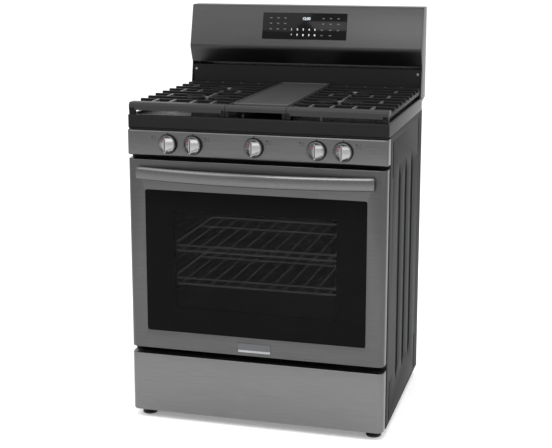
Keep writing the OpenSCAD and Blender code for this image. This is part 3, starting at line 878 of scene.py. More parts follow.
    def cut(self, *cutters: "Piece") -> "Piece":
        """Cuts other pieces out of this one and removes them.

        Args:
            cutters: Closed pieces.

        Returns:
            This piece.
        """
        cutter = cutters[0].join(*cutters[1:]) if len(cutters) > 1 else cutters[0]
        self.fresh()
        self.obj.select_set(True)
        bpy.context.view_layer.objects.active = self.obj
        bpy.ops.object.modifier_add(type="BOOLEAN")
        tool = self.obj.modifiers[-1]
        tool.operation = "DIFFERENCE"
        tool.solver = "EXACT"
        tool.use_self = True
        tool.object = cutter.obj
        bpy.ops.object.modifier_apply(modifier=tool.name)
        bpy.data.objects.remove(cutter.obj)
        return self

    def join(self, *others: "Piece") -> "Piece":
        """Joins other pieces into this one.

        Args:
            others: Pieces that end here.

        Returns:
            This piece.
        """
        self.fresh()
        for piece in (*others, self):
            piece.obj.select_set(True)
        bpy.context.view_layer.objects.active = self.obj
        if others:
            bpy.ops.object.join()
        return self

    def copy(
        self, name: str, offset: Sequence[float] = (0, 0, 0), turn: Optional[Matrix] = None
    ) -> "Piece":
        """Copies the piece with a mesh of its own.

        Args:
            name: Copy's name.
            offset: How far it is moved.
            turn: Matrix applied to its mesh before the move.

        Returns:
            The copy.
        """
        self.fresh()
        self.obj.select_set(True)
        bpy.context.view_layer.objects.active = self.obj
        bpy.ops.object.duplicate(linked=False)
        twin = Piece(bpy.context.object, name)
        twin.obj.data.transform(Matrix.Translation(Vector(offset)) @ (turn or Matrix.Identity(4)))
        return twin

    def mirrored(self, name: str) -> "Piece":
        """Copies the piece to the other side of the middle, with its faces still outwards.

        Args:
            name: Copy's name.

        Returns:
            The mirrored copy.
        """
        twin = self.copy(name, turn=Matrix.Scale(-1, 4, (1, 0, 0)))
        twin.open_mesh("FACE")
        return twin.face_outward()

    def paint(self, finish: Finish, test: Optional[Test] = None) -> "Piece":
        """Gives the piece, or some of its faces, a finish.

        Args:
            finish: The finish.
            test: Which faces; all of them if left out.

        Returns:
            This piece.
        """
        mesh = self.obj.data
        mesh.materials.append(finish.material())
        index = len(mesh.materials) - 1
        for face in mesh.polygons:
            if test is None or test(face.center, face.normal):
                face.material_index = index
        return self

    def done(
        self, body: str, slot: Optional[str] = None, stands_for: Sequence[str] = (), angle: float = 38.0
    ) -> "Piece":
        """Smooths the piece, lets it ride on its body and reports it.

        Args:
            body: CAD body's name.
            slot: Record's material slot; not used.
            stands_for: CAD nodes that it stands for.
            angle: Sharpest angle in degrees that is still shaded smooth.

        Returns:
            This piece.
        """
        self.fresh()
        self.obj.select_set(True)
        bpy.context.view_layer.objects.active = self.obj
        bpy.ops.object.shade_smooth_by_angle(angle=math.radians(angle))
        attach(self.obj, body)
        if stands_for:
            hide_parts(*stands_for)
        log.info("%s: %d faces on %s", self.obj.name, len(self.obj.data.polygons), body)
        return self


def soft_block(
    name: str, low: Sequence[float], high: Sequence[float], rounding: float, segments: int = 2
) -> Piece:
    """Adds a block with all its edges rounded.

    Args:
        name: Piece's name.
        low: Lowest corner in metres.
        high: Highest corner in metres.
        rounding: Width of the rounding in metres.
        segments: Steps in the rounding.

    Returns:
        The block.
    """
    return Piece.block(name, low, high).round_edges(rounding, segments)


def ring_profile(
    radius: float, height: float, rounding: float, start: float = 0.0
) -> list[tuple[float, float]]:
    """Half profile of a disc with a rounded upper edge.

    Args:
        radius: Disc's radius in metres.
        height: Height of its top in metres.
        rounding: Radius of its upper edge in metres.
        start: Height of its foot in metres.

    Returns:
        Radius and height of each corner.
    """
    arc = [
        (
            radius - rounding + rounding * math.cos(math.radians(a)),
            height - rounding + rounding * math.sin(math.radians(a)),
        )
        for a in range(0, 91, 15)
    ]
    return [(0.0, start), (radius, start), *arc, (0.0, height)]


# ------------------------------------------------------------------ layout

DOOR = Extent("door_skin")
SIDES = Extent("side_panels")
HALF_W = SIDES.x1 / MM
BOTH = (-1.0, 1.0)


def at(x: float, y: float, z: float) -> Vector:
    """Turns millimetres, with Y counted back from the door's front face, into a point of the frame.

    Args:
        x: Distance to the right of the middle.
        y: Distance behind the door's front face.
        z: Height over the floor.

    Returns:
        The point in metres.
    """
    return Vector((x * MM, DOOR.y0 + y * MM, z * MM))


def depth_of(y: float) -> float:
    """Distance of a frame Y behind the door's front face, in millimetres."""
    return (y - DOOR.y0) / MM


def on_plane(point: Vector, axis: int, value: float) -> bool:
    """Whether a point lies on a plane across an axis, to a tenth of a millimetre."""
    return abs(point[axis] - value) < 0.0001


def bent_front(
    name: str, low: Vector, high: Vector, corner: float, lip: float, steps: int = 8
) -> Piece:
    """Block with its upright front edges rolled over and its other front edges eased.

    Args:
        name: Piece's name.
        low: Lowest corner in metres.
        high: Highest corner in metres.
        corner: Radius of the upright edges in metres.
        lip: Rounding of the top and bottom front edges in metres.
        steps: Steps in the upright edges.

    Returns:
        The block.
    """
    piece = Piece.block(name, low, high)
    piece.round_edges(corner, steps, lambda m, d: abs(d.z) > 0.9 and on_plane(m, 1, low.y))
    return piece.round_edges(
        lip,
        3,
        lambda m, d: abs(d.z) < 0.1
        and m.y < low.y + corner * 0.98
        and (on_plane(m, 2, low.z) or on_plane(m, 2, high.z)),
    )


def screw_head(name: str, place: Vector, axis: Sequence[float], radius: float = 0.0035) -> Piece:
    """Pan head of a screw with a cross slot.

    Args:
        name: Piece's name.
        place: Middle of its seat.
        axis: Direction that it faces.
        radius: Head's radius in metres.

    Returns:
        The head.
    """
    head = Piece.turned(name, ring_profile(radius, 0.0018, 0.0012), place, axis, 20)
    way = Vector(axis).normalized()
    top = place + way * 0.0019
    side = way.orthogonal().normalized()
    over = way.cross(side)
    cuts = [
        Piece.rod("slot", top - turn * radius * 0.6, top + turn * radius * 0.6, 0.0005, 8)
        for turn in (side, over)
    ]
    return head.cut(*cuts)


# ------------------------------------------------------------------ cabinet


@dataclass
class Cabinet:
    """Side panels with pressed channels, rear sheets and levelling feet."""

    channel_depth: float = 4.0
    channel_width: float = 34.0
    channel_point: float = 40.0
    channel_places: tuple[float, ...] = (202.0, 312.0, 422.0)
    channel_heights: tuple[float, float] = (120.0, 770.0)
    slit_width: float = 10.0
    slit_places: tuple[float, ...] = (88.0, 540.0)
    slit_heights: tuple[tuple[float, float], ...] = ((36.0, 154.0), (748.0, 856.0))
    wall: float = 5.6
    sheet: float = 1.2

    def channel(self, y: float, z0: float, z1: float, width: float, point: float) -> Piece:
        """Cutter for one pressed channel of the right panel.

        Args:
            y: Its middle, behind the door's face.
            z0: Its lower end.
            z1: Its upper end.
            width: Its width.
            point: Length of its pointed ends.

        Returns:
            The cutter.
        """
        half = width / 2
        outline = [
            (y - half, z0 + point), (y, z0), (y + half, z0 + point),
            (y + half, z1 - point), (y, z1), (y - half, z1 - point),
        ]
        floor_x = HALF_W - self.channel_depth
        return Piece.prism(
            "channel", [at(floor_x, p, z) for p, z in outline], (2.5 * self.channel_depth * MM, 0, 0)
        )

    def side_panels(self) -> None:
        """Builds the right panel and mirrors it."""
        low, high = SIDES.low, SIDES.high
        panel = Piece.block("side_panel_right", (high.x - self.wall * MM, low.y, low.z), high)
        panel.round_edges(
            2.2 * MM, 4, lambda m, d: abs(d.z) > 0.9 and on_plane(m, 0, high.x) and on_plane(m, 1, low.y)
        )
        cutters = [
            self.channel(y, *self.channel_heights, self.channel_width, self.channel_point)
            for y in self.channel_places
        ]
        cutters += [
            self.channel(y, *ends, self.slit_width, 3.0)
            for y in self.slit_places
            for ends in self.slit_heights
        ]
        panel.cut(*cutters)
        floor_x = high.x - self.channel_depth * MM

        def within(m: Vector, d: Vector) -> bool:
            """Whether an edge belongs to a channel."""
            inside = low.y + 0.02 < m.y < high.y - 0.02 and low.z + 0.005 < m.z < high.z - 0.005
            return inside and m.x > floor_x - 0.0002

        panel.round_edges(1.7 * MM, 3, within)
        front_edge = depth_of(low.y)
        flanges = [
            soft_block(
                "flange", at(HALF_W - 20, front_edge + 0.2, low.z / MM),
                at(HALF_W - self.wall + 0.5, front_edge + self.sheet + 0.2, high.z / MM), 0.3 * MM,
            ),
            soft_block(
                "flange", at(HALF_W - 16, depth_of(high.y) - self.sheet - 0.2, low.z / MM),
                at(HALF_W - self.wall + 0.5, depth_of(high.y) - 0.2, high.z / MM), 0.3 * MM,
            ),
        ]
        panel.join(*flanges).paint(SIDE_PAINT)
        other = panel.mirrored("side_panel_left")
        panel.done("cabinet", "dark_enamel", ["side_panels"])
        other.done("cabinet", "dark_enamel", ["side_panels"])

    def rear_sheet(self) -> None:
        """Builds the rear sheet with its louvres, stiffening beads and cord collar."""
        box = Extent("rear_panels")
        back = depth_of(Extent("cooktop").y1) + 8
        half = HALF_W - 17
        sheet = Piece.block(
            "rear_sheet", at(-half, back - self.sheet, 42), at(half, back, SIDES.high.z / MM)
        )
        corner = Piece.block("corner", at(220, back - 5, 30), at(half + 5, back + 5, 155))
        cord = Piece.rod("cord_hole", at(-262, back - 12, 95), at(-262, back + 12, 95), 10.5 * MM, 32)
        sheet.cut(corner, cord)
        beads = []
        for z in (230, 330, 430, 530, 630):
            bead = Piece.block("bead", at(-300, back - 0.6, z - 9), at(300, back + 2.6, z + 9))
            bead.widen((0.985, 1, 0.55), at(0, back, z), lambda p: p.y > at(0, back + 1, 0).y)
            beads.append(bead.round_edges(1.6 * MM, 3))
        first = Piece.prism(
            "louvre",
            [
                at(-260, back - 0.5, 758), at(-260, back + 6, 759),
                at(-260, back + 6.5, 762), at(-260, back - 0.5, 774),
            ],
            (100 * MM, 0, 0),
        )
        hollow = Piece.prism(
            "hollow",
            [
                at(-258.5, back - 2, 757), at(-258.5, back + 4.8, 757),
                at(-258.5, back + 4.8, 761), at(-258.5, back - 2, 771),
            ],
            (97 * MM, 0, 0),
        )
        first.cut(hollow)
        louvres = [
            first.copy("louvre", (140 * MM * column, 0, 24 * MM * row))
            for column in range(4)
            for row in range(4)
            if column or row
        ]
        sheet.join(first, *beads, *louvres).paint(GALVANISED)
        sheet.done("cabinet", "galvanised", ["rear_panels"])
        collar = Piece.turned(
            "power_cord_collar",
            [(6 * MM, 0), (10.4 * MM, 0), (10.4 * MM, 7 * MM), (13 * MM, 8 * MM), (13 * MM, 11 * MM),
             (12 * MM, 12 * MM), (7 * MM, 12 * MM), (6 * MM, 11 * MM), (6 * MM, 0)],
            at(-262, back - 8, 95), (0, 1, 0), 32,
        )
        collar.paint(FOOT_NYLON).done("cabinet", "galvanised")
        upper = soft_block(
            "backguard_rear_sheet",
            (box.x0, box.y1 - self.sheet * MM, at(0, 0, 908).z),
            (at(HALF_W - 1.5, 0, 0).x, box.y1, box.z1),
            0.3 * MM,
        )
        for z in (960, 1020, 1080, 1140):
            bead = Piece.block(
                "bead", (at(-320, 0, 0).x, box.y1 - 0.0006, at(0, 0, z - 7).z),
                (at(320, 0, 0).x, box.y1 + 0.0022, at(0, 0, z + 7).z),
            )
            bead.widen((0.985, 1, 0.5), (0, box.y1, at(0, 0, z).z), lambda p: p.y > box.y1 + 0.001)
            upper.join(bead.round_edges(1.2 * MM, 3))
        upper.paint(GALVANISED).done("cabinet", "galvanised", ["rear_panels"])
        heads = [
            screw_head("head", at(x, back, z), (0, 1, 0), 0.0045)
            for x in (-352, 352)
            for z in (190, 420, 650, 850)
        ]
        heads[0].join(*heads[1:]).paint(SCREW_STEEL)
        heads[0].obj.name = "rear_screws"
        heads[0].done("cabinet", "zinc_steel")

    def feet(self) -> None:
        """Turns one levelling foot and copies it to the other corners."""
        corners = {
            "front_left": Extent("foot_front_left"),
            "front_right": Extent("foot_front_right"),
            "rear_left": Extent("foot_rear_left"),
            "rear_right": Extent("foot_rear_right"),
        }
        first = corners["front_left"]
        centre = Vector((first.middle.x, first.middle.y, 0.0))
        radius = (first.x1 - first.x0) / 2
        pad = Piece.turned(
            "levelling_foot_front_left_pad",
            [(0, 0.6 * MM), (radius - 3 * MM, 0.6 * MM), (radius - 2 * MM, 0), (radius - 1 * MM, 0),
             (radius, 1 * MM), (radius, 4.4 * MM), (radius - 0.8 * MM, 5.2 * MM), (14.6 * MM, 9.7 * MM),
             (13.6 * MM, 10 * MM), (0, 10 * MM)],
            centre,
        )
        nut = Piece.rod("nut", centre + Vector((0, 0, 0.0095)), centre + Vector((0, 0, 0.021)), 12 * MM, 6)
        nut.round_edges(0.6 * MM, 2)
        stem = Piece.turned(
            "stem",
            [(0, 20 * MM), (5 * MM, 20 * MM), (5 * MM, 69 * MM), (3.8 * MM, first.z1), (0, first.z1)],
            centre,
        )
        ribs = []
        for step in range(14):
            z = (22 + 1.5 * step) * MM
            ribs.append(Piece.turned(
                "thread",
                [(4.4 * MM, z - 0.0006), (4.95 * MM, z), (4.4 * MM, z + 0.0006), (4.4 * MM, z - 0.0006)],
                centre, steps=20,
            ))
        pad.join(nut, stem, *ribs).paint(FOOT_NYLON).paint(
            SCREW_STEEL, lambda m, n: m.z > 0.0211
        )
        for place, box in corners.items():
            name = f"levelling_foot_{place}"
            shift = (box.middle.x - centre.x, box.middle.y - centre.y, 0)
            foot = pad if place == "front_left" else pad.copy(f"{name}_pad", shift)
            foot.done(name, "foot_plastic", [f"foot_{place}"])


# ------------------------------------------------------------------ door and drawer


@dataclass
class OvenDoor:
    """Drop-down door: wrapped steel skin, printed glass, bowed handle and blank plate."""

    corner: float = 20.0
    lip: float = 3.0
    sheet: float = 1.2
    window_half: float = 325.0
    window_low: float = 277.0
    window_high: float = 698.0
    clear_half: float = 240.0
    clear_low: float = 350.0
    clear_high: float = 640.0
    handle_half: float = 345.0
    handle_bow: float = 40.0
    handle_depth: float = 16.0
    handle_height: float = 38.0

    def skin(self) -> None:
        """Wraps the skin round the door and cuts the window and hinge slots."""
        low, high = DOOR.low, DOOR.high
        t = self.sheet * MM
        skin = bent_front("door_skin_steel", low, high, self.corner * MM, self.lip * MM)
        inner = bent_front(
            "hollow", low + Vector((t, t, t)), high + Vector((-t, 0.01, -t)),
            (self.corner - self.sheet) * MM, (self.lip - self.sheet) * MM,
        )
        window = Piece.block(
            "window", at(-self.window_half, -5, self.window_low), at(self.window_half, 10, self.window_high)
        )
        window.round_edges(6 * MM, 5, lambda m, d: abs(d.y) > 0.9)
        slots = [
            Piece.block("slot", at(s * 337.5 - 6, 12, 215), at(s * 337.5 + 6, 48, 224.5)) for s in BOTH
        ]
        skin.cut(inner).cut(window, *slots)
        half = (self.window_half + 0.5) * MM
        bottom, top = (self.window_low - 0.5) * MM, (self.window_high + 0.5) * MM
        skin.round_edges(
            0.9 * MM, 3, lambda m, d: on_plane(m, 1, low.y) and abs(m.x) < half and bottom < m.z < top
        )
        skin.paint(TINTED_STEEL).done("oven_door", "black_stainless", ["door_skin"])

    def glass(self) -> None:
        """Builds the outer glass, printed black round its clear middle."""
        box = Extent("door_glass_outer")
        glass = soft_block("door_glass_printed", box.low, box.high, 0.8 * MM)
        for s in BOTH:
            glass.slice(at(s * self.clear_half, 0, 0), (1, 0, 0))
        glass.slice(at(0, 0, self.clear_low), (0, 0, 1)).slice(at(0, 0, self.clear_high), (0, 0, 1))
        glass.paint(PRINTED_GLASS)
        half = (self.clear_half + 0.01) * MM
        glass.paint(
            TINTED_GLASS,
            lambda m, n: abs(m.x) < half and self.clear_low * MM < m.z < self.clear_high * MM,
        )
        glass.done("oven_door", "oven_glass", ["door_glass_outer"])

    def handle(self) -> None:
        """Sweeps the handle's oval section along its large arc."""
        box = Extent("door_handle")
        middle_z = (box.z0 + box.z1) / 2
        half, bow = self.handle_half * MM, self.handle_bow * MM
        arc = (half * half + bow * bow) / (2 * bow)
        turn = math.asin(half / arc)
        middle_y = box.y0 + self.handle_depth / 2 * MM
        centre = Vector((0, middle_y + arc, middle_z))
        start = Vector((-math.sin(turn), -math.cos(turn), 0))
        section = []
        for step in range(24):
            angle = math.tau * step / 24
            reach = arc + self.handle_depth / 2 * MM * math.cos(angle)
            rise = self.handle_height / 2 * MM * math.copysign(abs(math.sin(angle)) ** 0.8, math.sin(angle))
            section.append(centre + start * reach + Vector((0, 0, rise)))
        bar = Piece.drawn("door_handle_bar", section, filled=True)
        bar.open_mesh("VERT")
        bpy.ops.mesh.select_all(action="SELECT")
        bpy.ops.mesh.spin(steps=56, angle=-2 * turn, center=centre, axis=(0, 0, 1))
        bar.face_outward()
        ends = half * 0.985
        bar.round_edges(1.6 * MM, 3, lambda m, d: abs(m.x) > ends and abs(d.x) < 0.5)
        bar.paint(HANDLE_METAL).done("oven_door", "handle_steel", ["door_handle"])

        def inner(x: float) -> float:
            """Depth of the bar's inner face at a distance from the middle, in millimetres."""
            radius = arc / MM - self.handle_depth / 2
            return depth_of(centre.y) - math.sqrt(radius * radius - x * x)

        x0, x1 = self.handle_half - 26, self.handle_half - 3
        z0 = middle_z / MM - 14
        bracket = Piece.prism(
            "handle_bracket_right",
            [at(x0, 0, z0), at(x0, inner(x0), z0), at(x1, inner(x1), z0), at(x1, 0, z0)],
            (0, 0, 28 * MM),
        )
        bracket.round_edges(1.2 * MM, 2, lambda m, d: abs(d.z) > 0.9 or abs(d.y) > 0.8)
        bracket.paint(SIDE_PAINT)
        other = bracket.mirrored("handle_bracket_left")
        bracket.done("oven_door", "dark_enamel", ["handle_brackets"])
        other.done("oven_door", "dark_enamel", ["handle_brackets"])

    def badge(self) -> None:
        """Builds the blank plate with a raised border and a bar along its foot."""
        box = Extent("badge_plate")
        plate = Piece.block("badge_plate_blank", box.low, box.high)
        plate.round_edges(3 * MM, 4, lambda m, d: abs(d.y) > 0.9)
        plate.round_edges(0.4 * MM, 2, lambda m, d: on_plane(m, 1, box.y0))
        plate.inset(1.4 * MM, -0.4 * MM, lambda m, n: n.y < -0.9 and on_plane(m, 1, box.y0))
        plate.paint(BADGE_FIELD)
        bar = soft_block(
            "bar",
            (box.x0 + 0.0022, box.y0 + 0.0001, box.z0 + 0.0022),
            (box.x1 - 0.0022, box.y0 + 0.0006, box.z0 + 0.0092),
            0.15 * MM,
        )
        bar.paint(BADGE_ALUMINIUM)
        plate.join(bar).done("oven_door", "badge_metal", ["badge_plate"])

    def build(self) -> None:
        """Builds the whole door."""
        self.skin()
        self.glass()
        self.handle()
        self.badge()


@dataclass
class StorageDrawer:
    """Wrapped steel drawer front."""

    corner: float = 20.0
    lip: float = 3.0

    def build(self) -> None:
        """Builds the front with a folded edge round its back."""
        box = Extent("drawer_front")
        front = bent_front("drawer_front_steel", box.low, box.high, self.corner * MM, self.lip * MM)
        front.inset(12 * MM, -1.2 * MM, lambda m, n: n.y > 0.9 and on_plane(m, 1, box.y1))
        # Painted light: the drawer's steel is coloured lighter than the door.
        front.paint(DRAWER_STEEL_PAINTED_LIGHT).done("storage_drawer", "drawer_steel", ["drawer_front"])


# ------------------------------------------------------------------ controls


@dataclass
class Controls:
    """Control panel with its printed marks, dark rings and turning knobs."""

    knob_radius: float = 26.0
    bore_radius: float = 4.05
    grip_inset: float = 2.2
    grip_foot: float = 7.5
    ridge_share: float = 0.16
    stroke_rises: tuple[float, ...] = (8.5, 12.0, 15.5)
    stroke_reach: tuple[float, float] = (12.5, 6.2)
    dot_rise: float = 31.5
    dot_radius: float = 2.7
    spot_radii: tuple[float, float] = (1.7, 3.0)

    def panel(self, places: Sequence[Vector]) -> None:
        """Folds the panel, bores it for the spindles and prints its marks.

        Args:
            places: Middles of the knobs.
        """
        box = Extent("control_panel")
        t = 1.2 * MM
        panel = bent_front("control_panel_steel", box.low, box.high, 10 * MM, 5 * MM, 6)
        inner = bent_front(
            "hollow", box.low + Vector((t, t, t)), box.high + Vector((-t, 0.01, -t)), 8.8 * MM, 3.8 * MM, 6
        )
        panel.cut(inner)
        panel.cut(*[
            Piece.rod("bore", (p.x, box.y0 - 0.005, p.z), (p.x, box.y0 + 0.008, p.z), 6 * MM)
            for p in places
        ])
        # Painted light: the panel's steel is coloured lighter than the door.
        panel.paint(PANEL_STEEL_PAINTED_LIGHT).done("cabinet", "black_stainless", ["control_panel"])
        marks = []
        ink = Vector((0, 0.0002, 0))
        for place, side in zip(places, (-1, 1, 1, -1, 1)):
            dot = Vector((place.x, box.y0, place.z + self.dot_rise * MM))
            marks.append(Piece.rod("dot", dot + ink, dot - ink, self.dot_radius * MM, 20))
            corner = place + Vector((side * 0.042, 0, 0.016))
            for dx in (-5, 0, 5):
                for dz in (-4, 4) if dx else (0,):
                    spot = Vector((corner.x + dx * MM, box.y0, corner.z + dz * MM))
                    big = (dx, dz) == (-5, 4)
                    radius = self.spot_radii[1 if big else 0] * MM
                    marks.append(Piece.rod("spot", spot + ink, spot - ink, radius, 12))
        marks[0].join(*marks[1:]).paint(PANEL_PRINT_AND_SHADE)
        marks[0].obj.name = "control_panel_print"
        marks[0].done("cabinet", "dark_enamel")

    def knob(self, place: Vector, back: float) -> Piece:
        """Casts one knob: a round skirt with a grip that slopes up from the rim to an upright ridge.

        Args:
            place: Knob's middle.
            back: Frame Y of the back of its skirt.

        Returns:
            The knob.
        """
        r = self.knob_radius * MM
        seat = Vector((place.x, back, place.z))
        skirt = Piece.turned(
            "knob_grip_1",
            [(self.bore_radius * MM, 0), (r - 0.6 * MM, 0), (r, 0.6 * MM), (r, 6.8 * MM),
             (r - 0.7 * MM, 8.3 * MM), (r - 2 * MM, 9 * MM), (r - 4 * MM, 8.8 * MM),
             (r - 7 * MM, 8.2 * MM), (6 * MM, 8 * MM), (self.bore_radius * MM, 8 * MM),
             (self.bore_radius * MM, 0)],
            seat, (0, -1, 0), 64,
        )
        front = Extent("knob_1").y0
        foot = back - self.grip_foot * MM
        rim = r - self.grip_inset * MM
        grip = Piece.rod("grip", (place.x, foot, place.z), (place.x, front, place.z), rim, 64)
        grip.widen((self.ridge_share, 1, 0.93), place, lambda p: on_plane(p, 1, front))
        grip.round_edges(0.6 * MM, 3, lambda m, d: on_plane(m, 1, front))
        bore = Piece.rod(
            "bore",
            (place.x, back + 0.002, place.z),
            (place.x, front + 0.008, place.z),
            self.bore_radius * MM,
        )
        grip.cut(bore)
        # Painted shade: a dark strip down the ridge of the grip, where its edge casts shade.
        line = soft_block(
            "line",
            (place.x - 0.0015, front - 0.0002, place.z - 0.0185),
            (place.x + 0.0015, front + 0.0008, place.z + 0.0195),
            0.2 * MM,
        )
        # Painted shade: the skirt is coloured darker than the grip.
        skirt.paint(SKIRT_METAL_PAINTED_SHADE)
        # Painted highlight: the grip is coloured lighter than the skirt of the same casting.
        grip.paint(KNOB_METAL_PAINTED_HIGHLIGHT)
        # Painted shade: the ridge strip takes the dark print colour.
        line.paint(PANEL_PRINT_AND_SHADE)
        strokes = []
        for rise in self.stroke_rises:
            # The flank runs straight from the rim circle to the ridge, so a stroke's ends lie on that line.
            wide = math.sqrt(rim**2 - (rise * MM) ** 2)
            thin = wide * self.ridge_share
            slope = (front - foot) / (wide - thin)
            ends = [
                (place.x - x * MM, foot + slope * (wide - x * MM), place.z + rise * MM)
                for x in self.stroke_reach
            ]
            strokes.append(Piece.rod("stroke", ends[0], ends[1], 1.1 * MM, 16).paint(POINTER_RED))
        return skirt.join(grip, line, *strokes)

    def build(self) -> None:
        """Builds the panel, then one knob and ring and their copies."""
        boxes = [Extent(f"knob_{i}") for i in range(1, 6)]
        places = [box.middle for box in boxes]
        self.panel(places)
        panel_y = Extent("control_panel").y0
        first = places[0]
        knob = self.knob(first, boxes[0].y1)
        r = self.knob_radius * MM
        ring = Piece.turned(
            "knob_bezel_1",
            [(r + 0.4 * MM, 0), (r + 2.6 * MM, 0), (r + 2.4 * MM, 2.6 * MM), (r + 1.7 * MM, 3.4 * MM),
             (r + 0.8 * MM, 3.4 * MM), (r + 0.4 * MM, 2.8 * MM), (r + 0.4 * MM, 0)],
            Vector((first.x, panel_y, first.z)), (0, -1, 0), 64,
        )
        # Painted shade: the ring's near-black colour stands for the shadowed gap round the knob.
        ring.paint(BEZEL_PAINTED_SHADE)
        for number, place in enumerate(places, start=1):
            shift = (place.x - first.x, 0, 0)
            grip = knob if number == 1 else knob.copy(f"knob_grip_{number}", shift)
            bezel = ring if number == 1 else ring.copy(f"knob_bezel_{number}", shift)
            grip.done(f"control_knob_{number}", "knob_metal", [f"knob_{number}"])
            bezel.done("cabinet", "dark_enamel")


# ------------------------------------------------------------------ cooktop


@dataclass
class Cooktop:
    """Enamelled top with its burners and igniters."""

    rim: float = 14.0
    rear_rim: float = 32.0
    deck: float = 905.0
    neck: float = 25.0
    burners: tuple[tuple[float, float, float], ...] = (
        (-201.0, 427.0, 36.0), (-201.0, 208.0, 42.0), (0.0, 315.0, 26.0),
        (201.0, 427.0, 38.0), (201.0, 208.0, 48.0),
    )
    oval: float = 75.0

    def top(self) -> None:
        """Presses the top: rounded rim, sunken deck and front band."""
        box = Extent("cooktop")
        front, back = depth_of(box.y0), depth_of(box.y1)
        skirt, high = 874.0, box.z1 / MM
        top = Piece.block("cooktop_enamelled", at(-HALF_W, front, skirt), at(HALF_W, back, high))
        top.round_edges(7 * MM, 4, lambda m, d: abs(d.z) > 0.9 and m.y < box.y0 + 0.01)
        top.round_edges(
            4.5 * MM, 4,
            lambda m, d: on_plane(m, 2, box.z1) and (m.y < box.y1 - 0.001),
        )
        well = Piece.block(
            "well",
            at(-HALF_W + self.rim, front + self.rim - 2, self.deck),
            at(HALF_W - self.rim, back - self.rear_rim, high + 6),
        )
        well.round_edges(14 * MM, 5, lambda m, d: abs(d.z) > 0.9)
        well.round_edges(2.5 * MM, 3, lambda m, d: on_plane(m, 2, self.deck * MM))
        under = Piece.block(
            "under",
            at(-HALF_W + 1.5, front + 1.5, skirt - 5),
            at(HALF_W - 1.5, back - 1.5, self.deck - 1.5),
        )
        under.round_edges(6 * MM, 3, lambda m, d: abs(d.z) > 0.9 and m.y < box.y0 + 0.01)
        holes = [
            Piece.rod("hole", at(x, y, self.deck - 8), at(x, y, self.deck + 4), (self.neck + 2) * MM, 36)
            for x, y, _ in self.burners
        ]
        top.cut(well).cut(under).cut(*holes)
        edge = (HALF_W - self.rim + 3) * MM
        top.round_edges(
            1.8 * MM, 3,
            lambda m, d: (
                on_plane(m, 2, box.z1) and abs(m.x) < edge and box.y0 + 0.006 < m.y < box.y1 - 0.02
            ),
        )
        band = soft_block(
            "band", at(-HALF_W + 4, front, box.z0 / MM), at(HALF_W - 4, front + 1.4, skirt + 2), 0.5 * MM
        )
        top.join(band).paint(COOKTOP_ENAMEL)
        # Painted reflection: the deck's upward faces are coloured greyer than the rim.
        top.paint(DECK_ENAMEL_PAINTED_REFLECTION, lambda m, d: abs(m.z - self.deck * MM) < 0.0006 and d.z > 0.9)
        top.done("cabinet", "gloss_enamel", ["cooktop"])

    def burner(self, x: float, y: float, radius: float, number: int) -> tuple[Piece, Piece]:
        """Turns a burner head and its cap.

        Args:
            x: Place across the cooktop.
            y: Place behind the door's face.
            radius: Head's radius.
            number: Burner's number.

        Returns:
            The head and the cap.
        """
        r, z = radius * MM, self.deck * MM
        seat = at(x, y, 0)
        head = Piece.turned(
            f"burner_head_{number}",
            [(0, z - 0.024), (self.neck * MM, z - 0.024), (self.neck * MM, z + 0.0005),
             (r - 0.004, z + 0.0005), (r, z + 0.0025), (r, z + 0.011),
             (r - 0.0012, z + 0.012), (0, z + 0.012)],
            seat, steps=64,
        )
        cap = Piece.turned(
            f"burner_cap_{number}",
            [(0, z + 0.0121), (r - 0.0035, z + 0.0121), (r - 0.0025, z + 0.013), (r - 0.003, z + 0.0155),
             (r - 0.007, z + 0.0178), (r - 0.014, z + 0.0188), (0, z + 0.019)],
            seat, steps=64,
        )
        return head, cap

    def fires(self) -> None:
        """Builds the five burners and their igniters."""
        for number, (x, y, radius) in enumerate(self.burners, start=1):
            head, cap = self.burner(x, y, radius, number)
            if number == 3:
                for piece in (head, cap):
                    piece.shift((0, -self.oval * MM, 0), lambda p: p.y < at(0, y, 0).y - 0.0001)
                    piece.shift((0, self.oval * MM, 0), lambda p: p.y > at(0, y, 0).y + 0.0001)
            ports = []
            count = 28
            for step in range(count):
                angle = math.tau * (step + 0.5) / count
                way = Vector((math.cos(angle), math.sin(angle), 0))
                stretch = math.copysign(self.oval, way.y) if number == 3 else 0.0
                start = at(x, y + stretch, self.deck + 8.5) + way * (radius - 5) * MM
                ports.append(Piece.rod("port", start, start + way * 0.009, 1.1 * MM, 8))
            head.cut(*ports).paint(BURNER_ALUMINIUM).done("cabinet", "burner_aluminium", ["burner_bases"])
            cap.paint(CAP_ENAMEL).done("cabinet", "gloss_enamel", ["burner_caps"])
            side = 1 if x <= 0 else -1
            foot = at(x + side * (radius + 8), y, self.deck)
            pin = Piece.turned(
                f"igniter_{number}",
                [(0, 0), (3.6 * MM, 0), (3.6 * MM, 3 * MM), (2.4 * MM, 3.6 * MM), (2.4 * MM, 12 * MM),
                 (1.6 * MM, 13 * MM), (0.8 * MM, 13 * MM), (0.8 * MM, 17 * MM), (0, 17 * MM)],
                foot, steps=20,
            )
            pin.paint(IGNITER_CERAMIC).done("cabinet", "gloss_enamel")

    def build(self) -> None:
        """Builds the top and its burners."""
        self.top()
        self.fires()


